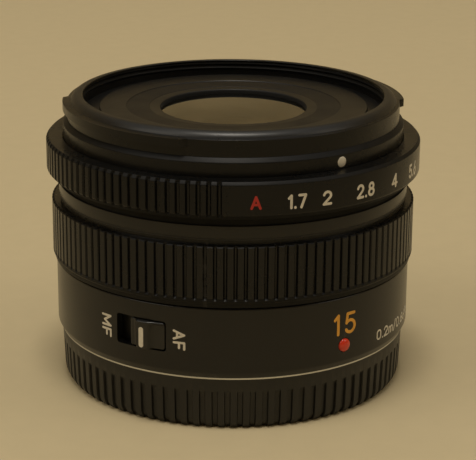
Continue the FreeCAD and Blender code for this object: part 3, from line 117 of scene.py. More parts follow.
def mixed(tree, factor, first, second):
    """Blends two colours. The mix node has its colour sockets at the numbers above."""
    made = tree.nodes.new("ShaderNodeMix")
    made.data_type = "RGBA"
    tree.links.new(factor, made.inputs["Factor"])
    for socket, value in ((made.inputs[MIX_FIRST], first), (made.inputs[MIX_SECOND], second)):
        if isinstance(value, tuple):
            socket.default_value = (*value, 1.0)
        else:
            tree.links.new(value, socket)
    return made.outputs[MIX_RESULT]


def scaled(colour, share):
    """The colour lighter or darker by a share, up to white."""
    return tuple(min(1.0, c * share) for c in colour)


def coated_metal(name, base, worn, rough, turned=True, ior=1.45):
    """Black anodised or painted metal: a fine grain, faint turning lines, handling sheen, rubbed edges."""
    mat, tree, shader = material(name)
    clouds = noise(tree, (160, 160, 200), detail=6)
    tone = ramp(tree, clouds, 0.3, 0.75, scaled(base, 0.82), scaled(base, 1.2))
    edge = node(tree, "ShaderNodeNewGeometry").outputs["Pointiness"]
    edges = ramp(tree, edge, 0.56, 0.66, grey(0), grey(0.7))
    patches = ramp(tree, noise(tree, (900, 900, 900), detail=5), 0.4, 0.65, grey(0), grey(1))
    rub = node(tree, "ShaderNodeMath", operation="MULTIPLY")
    tree.links.new(edges, rub.inputs[0])
    tree.links.new(patches, rub.inputs[1])
    tree.links.new(mixed(tree, rub.outputs[0], tone, worn), shader.inputs["Base Color"])
    gloss = ramp(tree, clouds, 0.3, 0.75, grey(rough + 0.03), grey(rough - 0.02))
    tree.links.new(gloss, shader.inputs["Roughness"])
    grit = noise(tree, (9000, 9000, 9000), detail=2)
    if turned:
        lines = noise(tree, (55, 55, 16000), detail=2)
        grit_and_lines = node(tree, "ShaderNodeMath", operation="ADD")
        tree.links.new(grit, grit_and_lines.inputs[0])
        tree.links.new(lines, grit_and_lines.inputs[1])
        grit = grit_and_lines.outputs[0]
    bump(tree, shader, grit, 0.2, 0.00003)
    shader.inputs["IOR"].default_value = ior
    return mat


def ringed_metal(name, base, rough, pitch):
    """A face turned with fine rings round the axis, which fan the light."""
    mat, tree, shader = material(name)
    coords = tree.nodes.new("ShaderNodeTexCoord")
    split = tree.nodes.new("ShaderNodeSeparateXYZ")
    flat = tree.nodes.new("ShaderNodeCombineXYZ")
    length = node(tree, "ShaderNodeVectorMath", operation="LENGTH")
    waves = node(tree, "ShaderNodeMath", operation="MULTIPLY")
    sine = node(tree, "ShaderNodeMath", operation="SINE")
    tree.links.new(coords.outputs["Object"], split.inputs["Vector"])
    tree.links.new(split.outputs["X"], flat.inputs["X"])
    tree.links.new(split.outputs["Y"], flat.inputs["Y"])
    tree.links.new(flat.outputs["Vector"], length.inputs[0])
    tree.links.new(length.outputs["Value"], waves.inputs[0])
    waves.inputs[1].default_value = 2 * math.pi / pitch
    tree.links.new(waves.outputs[0], sine.inputs[0])
    clouds = noise(tree, (160, 160, 160), detail=5)
    tone = ramp(tree, clouds, 0.3, 0.75, scaled(base, 0.85), scaled(base, 1.2))
    tree.links.new(tone, shader.inputs["Base Color"])
    gloss = ramp(tree, clouds, 0.3, 0.7, grey(rough + 0.05), grey(rough - 0.05))
    tree.links.new(gloss, shader.inputs["Roughness"])
    bump(tree, shader, sine.outputs[0], 0.35, pitch * 0.05)
    shader.inputs["IOR"].default_value = 1.45
    return mat


def bare_metal(name, base, rough, brush=(60, 60, 14000)):
    """Bright metal with the streaks of its last finish."""
    mat, tree, shader = material(name)
    streaks = noise(tree, brush, detail=4)
    tone = ramp(tree, streaks, 0.3, 0.7, scaled(base, 0.86), scaled(base, 1.08))
    tree.links.new(tone, shader.inputs["Base Color"])
    gloss = ramp(tree, streaks, 0.3, 0.7, grey(rough + 0.08), grey(rough - 0.06))
    tree.links.new(gloss, shader.inputs["Roughness"])
    bump(tree, shader, streaks, 0.15, 0.00002)
    shader.inputs["Metallic"].default_value = 1.0
    return mat


def plastic(name, base, rough, grain=5200, grain_bump=0.3, specular=0.5):
    """Moulded plastic with a spark-eroded grain and a little handling shine."""
    mat, tree, shader = material(name)
    clouds = noise(tree, (140, 140, 140), detail=5)
    tone = ramp(tree, clouds, 0.3, 0.75, scaled(base, 0.85), scaled(base, 1.18))
    tree.links.new(tone, shader.inputs["Base Color"])
    gloss = ramp(tree, clouds, 0.3, 0.75, grey(rough + 0.08), grey(rough - 0.05))
    tree.links.new(gloss, shader.inputs["Roughness"])
    bump(tree, shader, noise(tree, (grain, grain, grain), detail=3), grain_bump, 0.00004)
    shader.inputs["Specular IOR Level"].default_value = specular
    return mat


def paint(name, base):
    """Filled lettering: a slightly uneven enamel."""
    mat, tree, shader = material(name)
    clouds = noise(tree, (1500, 1500, 1500), detail=4)
    tone = ramp(tree, clouds, 0.3, 0.7, scaled(base, 0.86), scaled(base, 1.06))
    tree.links.new(tone, shader.inputs["Base Color"])
    tree.links.new(ramp(tree, clouds, 0.3, 0.7, grey(0.55), grey(0.45)), shader.inputs["Roughness"])
    bump(tree, shader, clouds, 0.2, 0.00002)
    return mat


def enamel(name, base):
    """Glossy coloured lacquer under a clear coat."""
    mat, tree, shader = material(name)
    clouds = noise(tree, (900, 900, 900), detail=3)
    tone = ramp(tree, clouds, 0.3, 0.7, scaled(base, 0.88), base)
    tree.links.new(tone, shader.inputs["Base Color"])
    tree.links.new(ramp(tree, clouds, 0.3, 0.7, grey(0.22), grey(0.14)), shader.inputs["Roughness"])
    shader.inputs["Coat Weight"].default_value = 0.35
    shader.inputs["Coat Roughness"].default_value = 0.04
    return mat


def coated_glass(name, tint, sheen, ior, rough, gain=1.0, cut=0.0):
    """Multicoated glass: light passes straight on, tinted, and the coating's colour shows in the gloss.

    The share of gloss is the Fresnel term times gain, less cut: a coating mirrors little from straight on.
    """
    mat = bpy.data.materials.new(name)
    mat.use_nodes = True
    tree = mat.node_tree
    tree.nodes.clear()
    out = tree.nodes.new("ShaderNodeOutputMaterial")
    through = node(tree, "ShaderNodeBsdfTransparent")
    through.inputs["Color"].default_value = (*tint, 1.0)
    gloss = node(tree, "ShaderNodeBsdfGlossy", Roughness=rough)
    clouds = noise(tree, (60, 60, 60), detail=2)
    tree.links.new(ramp(tree, clouds, 0.35, 0.65, sheen, scaled(sheen, 0.8)), gloss.inputs["Color"])
    facing = node(tree, "ShaderNodeFresnel", IOR=ior)
    raised = node(tree, "ShaderNodeMath", operation="MULTIPLY_ADD", use_clamp=True)
    raised.inputs[1].default_value = gain
    raised.inputs[2].default_value = -cut
    tree.links.new(facing.outputs[0], raised.inputs[0])
    both = tree.nodes.new("ShaderNodeMixShader")
    tree.links.new(raised.outputs[0], both.inputs[0])
    tree.links.new(through.outputs[0], both.inputs[1])
    tree.links.new(gloss.outputs[0], both.inputs[2])
    tree.links.new(both.outputs[0], out.inputs["Surface"])
    return mat


BLACK = (0.0042, 0.0041, 0.004)
WORN = (0.035, 0.033, 0.03)
look = {
    "barrel": coated_metal("barrel_black", BLACK, WORN, 0.24),
    "ring": coated_metal("ring_black", grey(0.0045), WORN, 0.26, turned=False, ior=1.39),
    "front": coated_metal("front_black", grey(0.004), WORN, 0.26, ior=1.33),
    "dial": coated_metal("dial_black", grey(0.0042), WORN, 0.26, turned=False, ior=1.33),
    "rim": coated_metal("rim_black", grey(0.005), WORN, 0.36, ior=1.5),
    "edge": coated_metal("edge_black", grey(0.0045), WORN, 0.46, ior=1.28),
    # A dull black for the filter thread and the name ring's throat. It is also painted shade: it darkens the
    # deep channel behind the rim, the recess under the aperture ring and that ring's foot.
    "dull_black_and_shade": plastic("dull_black_painted_shade", grey(0.003), 0.7, grain_bump=0.1, specular=0.25),
    "cone": plastic("cone_black", (0.0034, 0.0033, 0.0032), 0.4, grain_bump=0.1, specular=0.3),
    "name": ringed_metal("name_black", (0.0036, 0.0035, 0.0033), 0.36, 0.00022),
    "cap": plastic("cap_plastic", (0.0068, 0.0066, 0.006), 0.42, grain=4200, grain_bump=0.35),
    "switch": plastic("switch_black", (0.005, 0.0049, 0.0047), 0.33, grain=6000, grain_bump=0.2),
    "inner_plastic": plastic("inner_plastic", grey(0.02), 0.45),
    "flock": plastic("baffle_black", grey(0.008), 0.85, grain=7000, grain_bump=0.8, specular=0.2),
    "cell": coated_metal("cell_black", grey(0.012), WORN, 0.42),
    "chassis": coated_metal("chassis_metal", (0.05, 0.05, 0.052), grey(0.2), 0.4),
    "blade": coated_metal("blade_black", (0.016, 0.016, 0.017), grey(0.1), 0.38, turned=False),
    "steel": bare_metal("mount_metal", (0.62, 0.63, 0.64), 0.22),
    "small_steel": bare_metal("screw_steel", (0.48, 0.47, 0.46), 0.3, brush=(900, 900, 9000)),
    "brass": bare_metal("gear_brass", (0.72, 0.5, 0.2), 0.26, brush=(700, 700, 9000)),
    "gold": bare_metal("contact_gold", (0.9, 0.62, 0.25), 0.18, brush=(2500, 2500, 2500)),
    "board": plastic("board_green", (0.01, 0.07, 0.03), 0.4),
    "amber": plastic("flex_amber", (0.35, 0.14, 0.02), 0.3, grain_bump=0.1),
    "washer": plastic("washer_black", grey(0.012), 0.5),
    "white": paint("mark_white", (0.66, 0.62, 0.53)),
    "amber_mark": paint("mark_amber", (0.76, 0.37, 0.045)),
    "red_mark": paint("mark_red", (0.4, 0.018, 0.012)),
    "red": enamel("bead_red", (0.62, 0.03, 0.008)),
    "front_glass": coated_glass("front_glass", (0.82, 0.83, 0.78), (1.0, 0.99, 0.94), 1.5, 0.012, gain=2.0,
                                cut=0.074),
    "inner_glass": coated_glass("inner_glass", (0.96, 0.97, 0.96), (0.14, 0.16, 0.22), 1.15, 0.16),
}

# The look of each of the record's material slots
by_slot = {
    "cap_plastic": "cap", "mount_metal": "steel", "screw_steel": "small_steel", "bead_red": "red",
    "baffle_black": "flock", "contact_plastic": "inner_plastic", "contact_gold": "gold",
    "barrel_black": "barrel", "chassis_metal": "chassis", "board_green": "board", "flex_amber": "amber",
    "switch_black": "switch", "ring_black": "ring", "comb_metal": "small_steel", "washer_white": "washer",
    "spring_steel": "small_steel", "name_black": "name", "cell_black": "cell",
    "front_glass": "front_glass", "inner_glass": "inner_glass", "blade_black": "blade",
    "motor_steel": "small_steel", "gear_brass": "brass", "rod_steel": "small_steel",
}
for row in frame["record"]["subparts"]:
    part = frame["nodes"][row["node"]]
    part.data.materials.clear()
    part.data.materials.append(look[by_slot[row["material_slot"]]])

# Meshes


def face_outwards(mesh):
    """Turns every face of a closed mesh outwards."""
    work = bmesh.new()
    work.from_mesh(mesh)
    bmesh.ops.recalc_face_normals(work, faces=work.faces)
    work.to_mesh(mesh)
    work.free()
    mesh.update()


def new_piece(name, points, faces, finish, slot_name, body, smooth_deg=SHARP_DEG):
    """A piece from points in millimetres."""
    mesh = bpy.data.meshes.new(name)
    mesh.from_pydata([tuple(p) for p in np.asarray(points, float) * MM], [], faces)
    mesh.validate()
    face_outwards(mesh)
    mesh.shade_smooth()
    mesh.set_sharp_from_angle(angle=math.radians(smooth_deg))
    piece = bpy.data.objects.new(name, mesh)
    bpy.context.scene.collection.objects.link(piece)
    mesh.materials.append(look[finish])
    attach(piece, body)
    return piece


def around(radius, degrees, z):
    """A point at a radius, an angle and a height."""
    turn = math.radians(degrees)
    return (radius * math.sin(turn), -radius * math.cos(turn), z)


def circle(radius, count, x=0.0, y=0.0):
    """Points evenly round a circle."""
    turns = [2 * math.pi * k / count for k in range(count)]
    return [(x + radius * math.cos(turn), y + radius * math.sin(turn)) for turn in turns]


def belt(low, high, count):
    """Quads between two closed rings of points, which start at the numbers low and high."""
    return [(low + k, low + (k + 1) % count, high + (k + 1) % count, high + k) for k in range(count)]


# A fillet takes up to this share of a side, which it may share with the next fillet
FREE_SHARE, SHARED_SHARE = 0.95, 0.48


def filleted(corners, steps=3):
    """A profile whose corners (r, z, fillet, ...) are rounded. What follows the fillet is carried along."""
    rows = []
    count = len(corners)
    for i, corner in enumerate(corners):
        here = np.array(corner[:2], float)
        radius = corner[2] if len(corner) > 2 else 0.0
        extra = tuple(corner[3:])
        if radius <= 0:
            rows.append((here[0], here[1], *extra))
            continue
        before = np.array(corners[i - 1][:2], float) - here
        after = np.array(corners[(i + 1) % count][:2], float) - here
        room = []
        for side, way in ((corners[i - 1], before), (corners[(i + 1) % count], after)):
            shared = len(side) > 2 and side[2] > 0
            room.append((SHARED_SHARE if shared else FREE_SHARE) * np.linalg.norm(way))
        reach = min(radius, *room)
        start = here + before / np.linalg.norm(before) * reach
        end = here + after / np.linalg.norm(after) * reach
        for k in range(steps + 1):
            t = k / steps
            point = (1 - t) ** 2 * start + 2 * t * (1 - t) * here + t ** 2 * end
            rows.append((point[0], point[1], *extra))
    return rows


def spun(name, rows, angles, finish, slot_name, body, relief=None):
    """A closed profile spun round the axis. relief(row, angle) is added to a row's radius."""
    points = []
    for row in rows:
        for angle in angles:
            radius = row[0] + (relief(row, angle) if relief else 0.0)
            points.append(around(max(radius, 0.0), angle, row[1]))
    wide = len(angles)
    faces = []
    for i in range(len(rows)):
        faces += belt(i * wide, (i + 1) % len(rows) * wide, wide)
    return new_piece(name, points, faces, finish, slot_name, body)


def even(count):
    """Angles in equal steps all the way round."""
    return [k * 360.0 / count for k in range(count)]


def smooth(value):
    """Eases from 0 to 1."""
    value = min(1.0, max(0.0, value))
    return value * value * (3 - 2 * value)


LAND_EDGE_DEG = 0.12


def flute_angles(middles, half_floor, half_mouth, between):
    """Sample angles for flutes: floor, sides and the land's edges, and those between on the lands."""
    angles = []
    for middle in middles:
        for side in (-1, 1):
            angles += [middle + side * half_floor, middle + side * half_mouth,
                       middle + side * (half_mouth + LAND_EDGE_DEG), middle + side * half_floor * 0.4]
    angles += between
    return sorted(set(round(a % 360, 5) for a in angles))


def flute_depth(angle, middles, half_floor, half_mouth):
    """1 on a flute's floor, 0 on the land, with a smooth side between."""
    gap = min(abs((angle - middle + 180) % 360 - 180) for middle in middles)
    return smooth((half_mouth - gap) / (half_mouth - half_floor))


def refinish(piece, finish, chosen):
    """Gives another finish to the faces whose middle, as radius and height, is chosen."""
    piece.data.materials.append(look[finish])
    slot = len(piece.data.materials) - 1
    for face in piece.data.polygons:
        x, y, z = face.center / MM
        if chosen(math.hypot(x, y), z):
            face.material_index = slot


def ribbed(name, rows, middles, half_floor, half_mouth, between, finish, slot_name, body):
    """A spun profile with flutes. A row's third value is how deep the flutes are at that row."""
    angles = flute_angles(middles, half_floor, half_mouth, between)
    depth = {a: flute_depth(a, middles, half_floor, half_mouth) for a in angles}

    def relief(row, angle):
        return -(row[2] if len(row) > 2 else 0.0) * depth[angle]

    return spun(name, rows, angles, finish, slot_name, body, relief)


# Rear cap

CAP_FLUTES = 90
CAP_PITCH_DEG = 360 / CAP_FLUTES
CAP_FIRST_DEG = 1.74
CAP_FLOOR_DEG, CAP_MOUTH_DEG = 0.72, 0.98
cap_rows = filleted([
    (0.0, 1.4), (25.3, 1.4, 0.2), (25.3, 8.0, 0.1), (26.8, 8.0, 0.12), (26.724, 6.15, 0.0, 0.0),
    (26.715, 5.95, 0.0, 0.08), (26.704, 5.7, 0.0, 0.24), (26.687, 5.3, 0.0, 0.33), (26.5, 1.0, 0.5, 0.35),
    (25.8, 0.0, 0.25, 0.35), (25.0, 0.0, 0.0, 0.0), (24.2, 0.0, 0.1), (24.0, 0.25, 0.1), (18.0, 0.25, 0.1),
    (17.8, 0.0, 0.1), (0.0, 0.0)])
cap_middles = [CAP_FIRST_DEG + k * CAP_PITCH_DEG for k in range(CAP_FLUTES)]
cap_lands = [middle + CAP_PITCH_DEG / 2 for middle in cap_middles]
cap = ribbed("cap_shell", cap_rows, cap_middles, CAP_FLOOR_DEG, CAP_MOUTH_DEG, cap_lands, "cap",
             "cap_plastic", "rear_cap")
CAP_RING_TOP = 7.5
ring_rows = filleted([(21.3, 1.4), (21.3, CAP_RING_TOP, 0.15), (22.5, CAP_RING_TOP, 0.15), (22.5, 1.4)])
spun("cap_ring", ring_rows, even(180), "cap", "cap_plastic", "rear_cap")
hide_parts("rear_cap")


SECTOR_FILLET = 0.1


def ring_sector(name, inner, outer, low, high, middle, width, finish, slot_name, body):
    """A short piece of a ring with rounded edges."""
    corners = [(inner, low), (outer, low), (outer, high), (inner, high)]
    outline = filleted([(*corner, SECTOR_FILLET) for corner in corners], steps=2)
    steps = max(6, int(width / 2))
    points = []
    for k in range(steps + 1):
        angle = middle - width / 2 + width * k / steps
        points += [around(r, angle, z) for r, z in outline]
    wide = len(outline)
    faces = [tuple(range(wide))[::-1], tuple(range(steps * wide, (steps + 1) * wide))]
    for k in range(steps):
        faces += belt(k * wide, (k + 1) * wide, wide)
    return new_piece(name, points, faces, finish, slot_name, body)


CLAWS, CLAW_FIRST_DEG, CLAW_WIDTH_DEG = 3, 30, 40
CLAW_INNER, CLAW_OUTER, CLAW_HEIGHT = 19.4, 21.9, 1.0
for index in range(CLAWS):
    ring_sector(f"cap_claw_{index + 1}", CLAW_INNER, CLAW_OUTER, CAP_RING_TOP - CLAW_HEIGHT, CAP_RING_TOP,
                CLAW_FIRST_DEG + 360 / CLAWS * index, CLAW_WIDTH_DEG, "cap", "cap_plastic", "rear_cap")

# Main barrel, with its window and the bead's pocket cut


def cut_away(piece, cutter):
    """Cuts one mesh from another for good."""
    rule = piece.modifiers.new("cut", "BOOLEAN")
    rule.operation = "DIFFERENCE"
    rule.solver = "EXACT"
    rule.object = cutter
    bpy.context.view_layer.update()
    shaped = bpy.data.meshes.new_from_object(piece.evaluated_get(bpy.context.evaluated_depsgraph_get()))
    piece.modifiers.clear()
    piece.data = shaped
    bpy.data.objects.remove(cutter)
    shaped.shade_smooth()
    shaped.set_sharp_from_angle(angle=math.radians(SHARP_DEG))


def rounded_block(width, height, corner, steps=5):
    """Outline of a rectangle with rounded corners, centred, counter-clockwise."""
    points = []
    for cx, cy, start in ((1, 1, 0), (-1, 1, 90), (-1, -1, 180), (1, -1, 270)):
        for k in range(steps + 1):
            turn = math.radians(start + 90 * k / steps)
            points.append((cx * (width / 2 - corner) + corner * math.cos(turn),
                           cy * (height / 2 - corner) + corner * math.sin(turn)))
    return points


def radial_prism(name, outline, inner, outer, middle, z):
    """A prism along the radius at an angle. Its outline is given by points sideways and up."""
    turn = math.radians(middle)
    side = np.array([math.cos(turn), math.sin(turn), 0.0])
    away = np.array([math.sin(turn), -math.cos(turn), 0.0])
    points = []
    for radius in (inner, outer):
        points += [away * radius + side * x + np.array([0, 0, z + y]) for x, y in outline]
    n = len(outline)
    faces = [tuple(range(n)), tuple(range(2 * n - 1, n - 1, -1))]
    faces += belt(n, 0, n)
    mesh = bpy.data.meshes.new(name)
    mesh.from_pydata([tuple(p * MM) for p in points], [], faces)
    face_outwards(mesh)
    made = bpy.data.objects.new(name, mesh)
    bpy.context.scene.collection.objects.link(made)
    return made


BARREL_R = 27.45
WINDOW_DEG, WINDOW_SPAN_DEG = -66.05, 17.5
WINDOW_Z, WINDOW_HEIGHT, WINDOW_CORNER, WINDOW_FLOOR_R = 14.13, 4.6, 0.42, 24.9
BEAD_Z = 11.6
POCKET_R, POCKET_FLOOR_R = 1.1, 26.85
TOOL_OUTER_R = 29.0
barrel_rows = filleted([
    (25.7, 8.26, 0.05), (27.0, 8.26, 0.06), (BARREL_R, 9.2, 0.12), (BARREL_R, 18.92, 0.12),
    (27.2, 19.16, 0.08), (26.7, 19.16), (26.7, 18.9), (24.8, 18.9), (24.8, 18.1), (25.9, 18.1),
    (25.9, 10.0), (25.7, 10.0)])
barrel = spun("barrel_shell", barrel_rows, even(300), "barrel", "barrel_black", "barrel")
window_width = 2 * BARREL_R * math.sin(math.radians(WINDOW_SPAN_DEG / 2))
window_outline = rounded_block(window_width, WINDOW_HEIGHT, WINDOW_CORNER)
window_tool = radial_prism("window_tool", window_outline, WINDOW_FLOOR_R, TOOL_OUTER_R, WINDOW_DEG, WINDOW_Z)
pocket_tool = radial_prism("pocket_tool", circle(POCKET_R, 36), POCKET_FLOOR_R, TOOL_OUTER_R, 0.0, BEAD_Z)
cut_away(barrel, window_tool)
cut_away(barrel, pocket_tool)
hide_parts("main_barrel")

# Focus mode switch: a slide with a ridge that carries the line and a thumb scoop on each side

KNOB_DEG = -63.65
KNOB_HALF_WIDTH, KNOB_HALF_HEIGHT = 2.87, 2.1
KNOB_CORNER = 0.4
KNOB_FOOT_R = 25.4
RIDGE_R = 28.21
# The knob's face through its scoops and beside them: how far across from its middle, and the radius
scooped = [(-2.9, 27.4), (-2.5, 27.5), (-2.1, 27.5), (-1.75, 27.66), (-1.5, 27.98), (-1.32, RIDGE_R),
           (0.36, RIDGE_R), (0.55, 27.98), (0.82, 27.62), (1.15, 27.5), (2.1, 27.48), (2.9, 27.5)]
landed = [(-2.9, 27.5), (-1.5, 27.98), (-1.32, RIDGE_R), (0.36, RIDGE_R), (0.9, 27.94), (1.4, 27.78),
          (2.9, 27.68)]
SCOOP_LEFT, SCOOP_TOP, SCOOP_CORNER, SCOOP_BEND = 0.55, 1.72, 0.75, 0.1
KNOB_EDGE, KNOB_EDGE_DROP = 0.16, 0.15


def knob_radius(x, y, edge):
    """The radius of the knob's face. The edge is how far the point lies from the outline."""
    low = np.interp(x, *zip(*scooped))
    land = np.interp(x, *zip(*landed))
    dx, dy = SCOOP_LEFT + SCOOP_CORNER - x, y - (SCOOP_TOP - SCOOP_CORNER)
    outside = math.hypot(max(dx, 0.0), max(dy, 0.0)) - SCOOP_CORNER
    face = low + (land - low) * smooth(outside / SCOOP_BEND + 0.5) if x > 0.0 else low
    lower = max(0.0, 1 - edge / KNOB_EDGE)
    return face - KNOB_EDGE_DROP * lower * lower


def knob_mesh(wide=64, tall=36):
    """A closed body: the face on a grid, whose border runs straight down to the foot."""
    points, faces = [], []
    for j in range(tall + 1):
        y = -KNOB_HALF_HEIGHT * math.cos(math.pi * j / tall)
        past = max(0.0, abs(y) - (KNOB_HALF_HEIGHT - KNOB_CORNER))
        half = KNOB_HALF_WIDTH - KNOB_CORNER + math.sqrt(max(0.0, KNOB_CORNER ** 2 - past ** 2))
        for i in range(wide + 1):
            share = 2 * i / wide - 1
            x = half * (0.75 * share + 0.25 * math.sin(share * math.pi / 2))
            edge = min(half - abs(x), KNOB_HALF_HEIGHT - abs(y))
            radius = knob_radius(x, y, edge)
            points.append(around(radius, KNOB_DEG + math.degrees(x / BARREL_R), WINDOW_Z + y))
    line = wide + 1
    faces += [(j * line + i, j * line + i + 1, (j + 1) * line + i + 1, (j + 1) * line + i)
              for j in range(tall) for i in range(wide)]
    border = list(range(line))
    border += [j * line + wide for j in range(1, tall + 1)]
    border += [tall * line + i for i in range(wide - 1, -1, -1)]
    border += [j * line for j in range(tall - 1, 0, -1)]
    foot = len(points)
    for at in border:
        x, y, z = points[at]
        shrink = KNOB_FOOT_R / math.hypot(x, y)
        points.append((x * shrink, y * shrink, z))
    count = len(border)
    faces += [(border[k], foot + k, foot + (k + 1) % count, border[(k + 1) % count]) for k in range(count)]
    faces.append(tuple(range(foot, foot + count)))
    return points, faces


knob = new_piece("switch_slide", *knob_mesh(), "switch", "switch_black", "switch_knob", KNOB_SHARP_DEG)
PLATE_INNER, PLATE_OUTER, PLATE_HALF_HEIGHT, PLATE_WIDTH_DEG = 25.1, 25.75, 2.7, 25
ring_sector("switch_slide_plate", PLATE_INNER, PLATE_OUTER, WINDOW_Z - PLATE_HALF_HEIGHT,
            WINDOW_Z + PLATE_HALF_HEIGHT, KNOB_DEG, PLATE_WIDTH_DEG, "switch", "switch_black", "switch_knob")
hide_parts("switch_knob")

# Focus ring

RIB_PITCH_DEG = 3.0
FOCUS_R, FOCUS_FLUTE = 28.0, 0.36
FOCUS_FLOOR_DEG, FOCUS_MOUTH_DEG = 0.24, 0.62
FOCUS_EDGE_R, FOCUS_EDGE_LOW, FOCUS_EDGE_HIGH = 27.4, 20.8, 28.33
focus_rows = filleted([
    (24.78, 19.3, 0.05), (27.72, 19.3, 0.14), (27.72, 19.93, 0.12), (FOCUS_R, 20.2, 0.08),
    (FOCUS_R, 20.42, 0.0, 0.0), (FOCUS_R, 20.6, 0.0, 0.28), (FOCUS_R, 20.75, 0.0, FOCUS_FLUTE),
    (FOCUS_R, 28.36, 0.0, FOCUS_FLUTE), (27.86, 28.5, 0.0, 0.22),
    (27.64, 28.5, 0.0, 0.0), (26.6, 28.5, 0.05), (26.6, 29.1, 0.05), (24.78, 29.1, 0.05), (24.78, 27.9),
    (26.3, 27.9), (26.3, 20.5), (24.78, 20.5)])
focus_middles = [k * RIB_PITCH_DEG for k in range(round(360 / RIB_PITCH_DEG))]
focus_lands = [middle + RIB_PITCH_DEG / 2 for middle in focus_middles]
focus = ribbed("focus_grip", focus_rows, focus_middles, FOCUS_FLOOR_DEG, FOCUS_MOUTH_DEG, focus_lands,
               "ring", "ring_black", "focus_ring")
refinish(focus, "edge", lambda r, z: r > FOCUS_EDGE_R and not FOCUS_EDGE_LOW <= z <= FOCUS_EDGE_HIGH)
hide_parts("focus_ring")

# Fixed band, with the recess under the aperture ring

RECESS_Z = 31.3
band_rows = filleted([
    (24.72, 29.4), (26.9, 29.4, 0.1), (26.9, RECESS_Z, 0.12), (26.6, RECESS_Z, 0.05), (26.6, 32.5, 0.08),
    (24.72, 32.5)])
band = spun("band_shell", band_rows, even(240), "barrel", "barrel_black", "barrel")
# The recess under the aperture ring gets the dull black: painted shade under the ring's overhang.
refinish(band, "dull_black_and_shade", lambda r, z: z > RECESS_Z - 0.05)
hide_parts("fixed_band")

# Aperture ring

SCALE_FIRST, SCALE_LAST, SCALE_STEPS = -38.8, 79.3, 96
APERTURE_R, APERTURE_FLUTE = 28.7, 0.38
APERTURE_FLOOR_DEG, APERTURE_MOUTH_DEG = 0.3, 0.74
APERTURE_EDGE_R, APERTURE_EDGE_LOW = 28.0, 37.74
APERTURE_FOOT_R, APERTURE_FOOT_HIGH = 26.8, 33.3
aperture_rows = filleted([
    (24.8, 32.75, 0.05), (26.9, 32.75), (26.9, 32.6, 0.0, 0.0), (27.95, 32.6, 0.0, 0.0),
    (28.3, 33.0, 0.0, 0.0), (APERTURE_R, 33.4, 0.14, APERTURE_FLUTE),
    (APERTURE_R, 37.78, 0.1, APERTURE_FLUTE), (28.36, 38.16, 0.0, 0.04), (28.32, 38.2, 0.0, 0.0),
    (26.18, 38.2, 0.08), (26.18, 34.0), (24.8, 34.0)])
ribbed_span = 360 - SCALE_LAST + SCALE_FIRST
aperture_middles = [SCALE_LAST + RIB_PITCH_DEG * k for k in range(int(ribbed_span / RIB_PITCH_DEG) + 1)]
plain_first, plain_last = SCALE_FIRST + 1.0, SCALE_LAST - 1.0
plain = [plain_first + k * (plain_last - plain_first) / SCALE_STEPS for k in range(SCALE_STEPS + 1)]
aperture_lands = [middle + RIB_PITCH_DEG / 2 for middle in aperture_middles[:-1]]
aperture = ribbed("aperture_grip", aperture_rows, aperture_middles, APERTURE_FLOOR_DEG, APERTURE_MOUTH_DEG,
                  plain + aperture_lands, "dial", "ring_black", "aperture_ring")
refinish(aperture, "edge", lambda r, z: r > APERTURE_EDGE_R and z > APERTURE_EDGE_LOW)
# The ring's foot bevel gets the dull black: painted shade in the gap under the ring.
refinish(aperture, "dull_black_and_shade", lambda r, z: r > APERTURE_FOOT_R and z < APERTURE_FOOT_HIGH)
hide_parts("aperture_ring")

# Front barrel: skirt, hood seat with two lugs, rim and filter thread

SKIRT_R, SEAT_R = 26.1, 25.4
LUG_MIDDLE_DEG, LUG_HALF_DEG, LUG_SLOPE_DEG = 90, 37.5, 1.6
THREAD_R, THREAD_PITCH, THREAD_DEPTH, THREAD_CREST, THREAD_FLAT = 23.0, 0.75, 0.34, 0.05, 0.08
THREAD_TOP, THREAD_ROW, THREAD_ROWS = 44.1, 0.07, 20
PLAIN, LUG, THREAD = 0, 1, 2


def front_relief(row, angle):
    """What a row's kind adds to its radius: two lugs that reach the skirt, or the groove of the thread."""
    kind = row[2] if len(row) > 2 else PLAIN
    if kind == LUG:
        off = abs((angle + 180) % 360 - 180)
        edge = LUG_HALF_DEG - abs(off - LUG_MIDDLE_DEG)
        return (SKIRT_R - row[0]) * min(1.0, max(0.0, edge / LUG_SLOPE_DEG + 0.5))
    if kind == THREAD:
        phase = (row[1] / THREAD_PITCH - angle / 360) % 1.0
        cut = THREAD_FLAT < phase < 1 - THREAD_FLAT
        return THREAD_DEPTH * (1 - abs(2 * phase - 1)) if cut else THREAD_CREST
    return 0.0


RIM_TOP, RIM_ROUND, RIM_ROUND_MIDDLE_R, RIM_ROUND_FIRST_DEG = 44.4, 1.4, 23.58, 24
RIM_LOW, CHAMFER_LOW, CHAMFER_HIGH = 43.6, 40.2, 40.95
rim_round = [(RIM_ROUND_MIDDLE_R + RIM_ROUND * math.cos(t), RIM_TOP - RIM_ROUND * (1 - math.sin(t)))
             for t in np.linspace(math.radians(RIM_ROUND_FIRST_DEG), math.pi / 2, 12)]
thread_rows = [(THREAD_R, THREAD_TOP - THREAD_ROW * k, 0.0, THREAD) for k in range(THREAD_ROWS)]
front_rows = filleted([
    (24.74, 34.1), (SKIRT_R, 34.1, 0.08), (SKIRT_R, 40.3, 0.12), (25.5, 40.9, 0.05), (SEAT_R, 40.92),
    (SEAT_R, 42.21, 0.0, PLAIN), (SEAT_R, 42.29, 0.0, LUG), (SEAT_R, 43.38, 0.0, LUG),
    (25.35, 43.44, 0.0, LUG), (25.0, 43.5, 0.0, PLAIN), *rim_round,
    (THREAD_R, RIM_TOP, 0.16), *thread_rows, (23.3, 42.4, 0.0), (23.3, 41.65, 0.05), (20.6, 41.65),
    (20.6, 40.45), (24.02, 40.45), (24.02, 37.7), (23.4, 37.7), (23.4, 36.5), (24.74, 36.5)], steps=5)
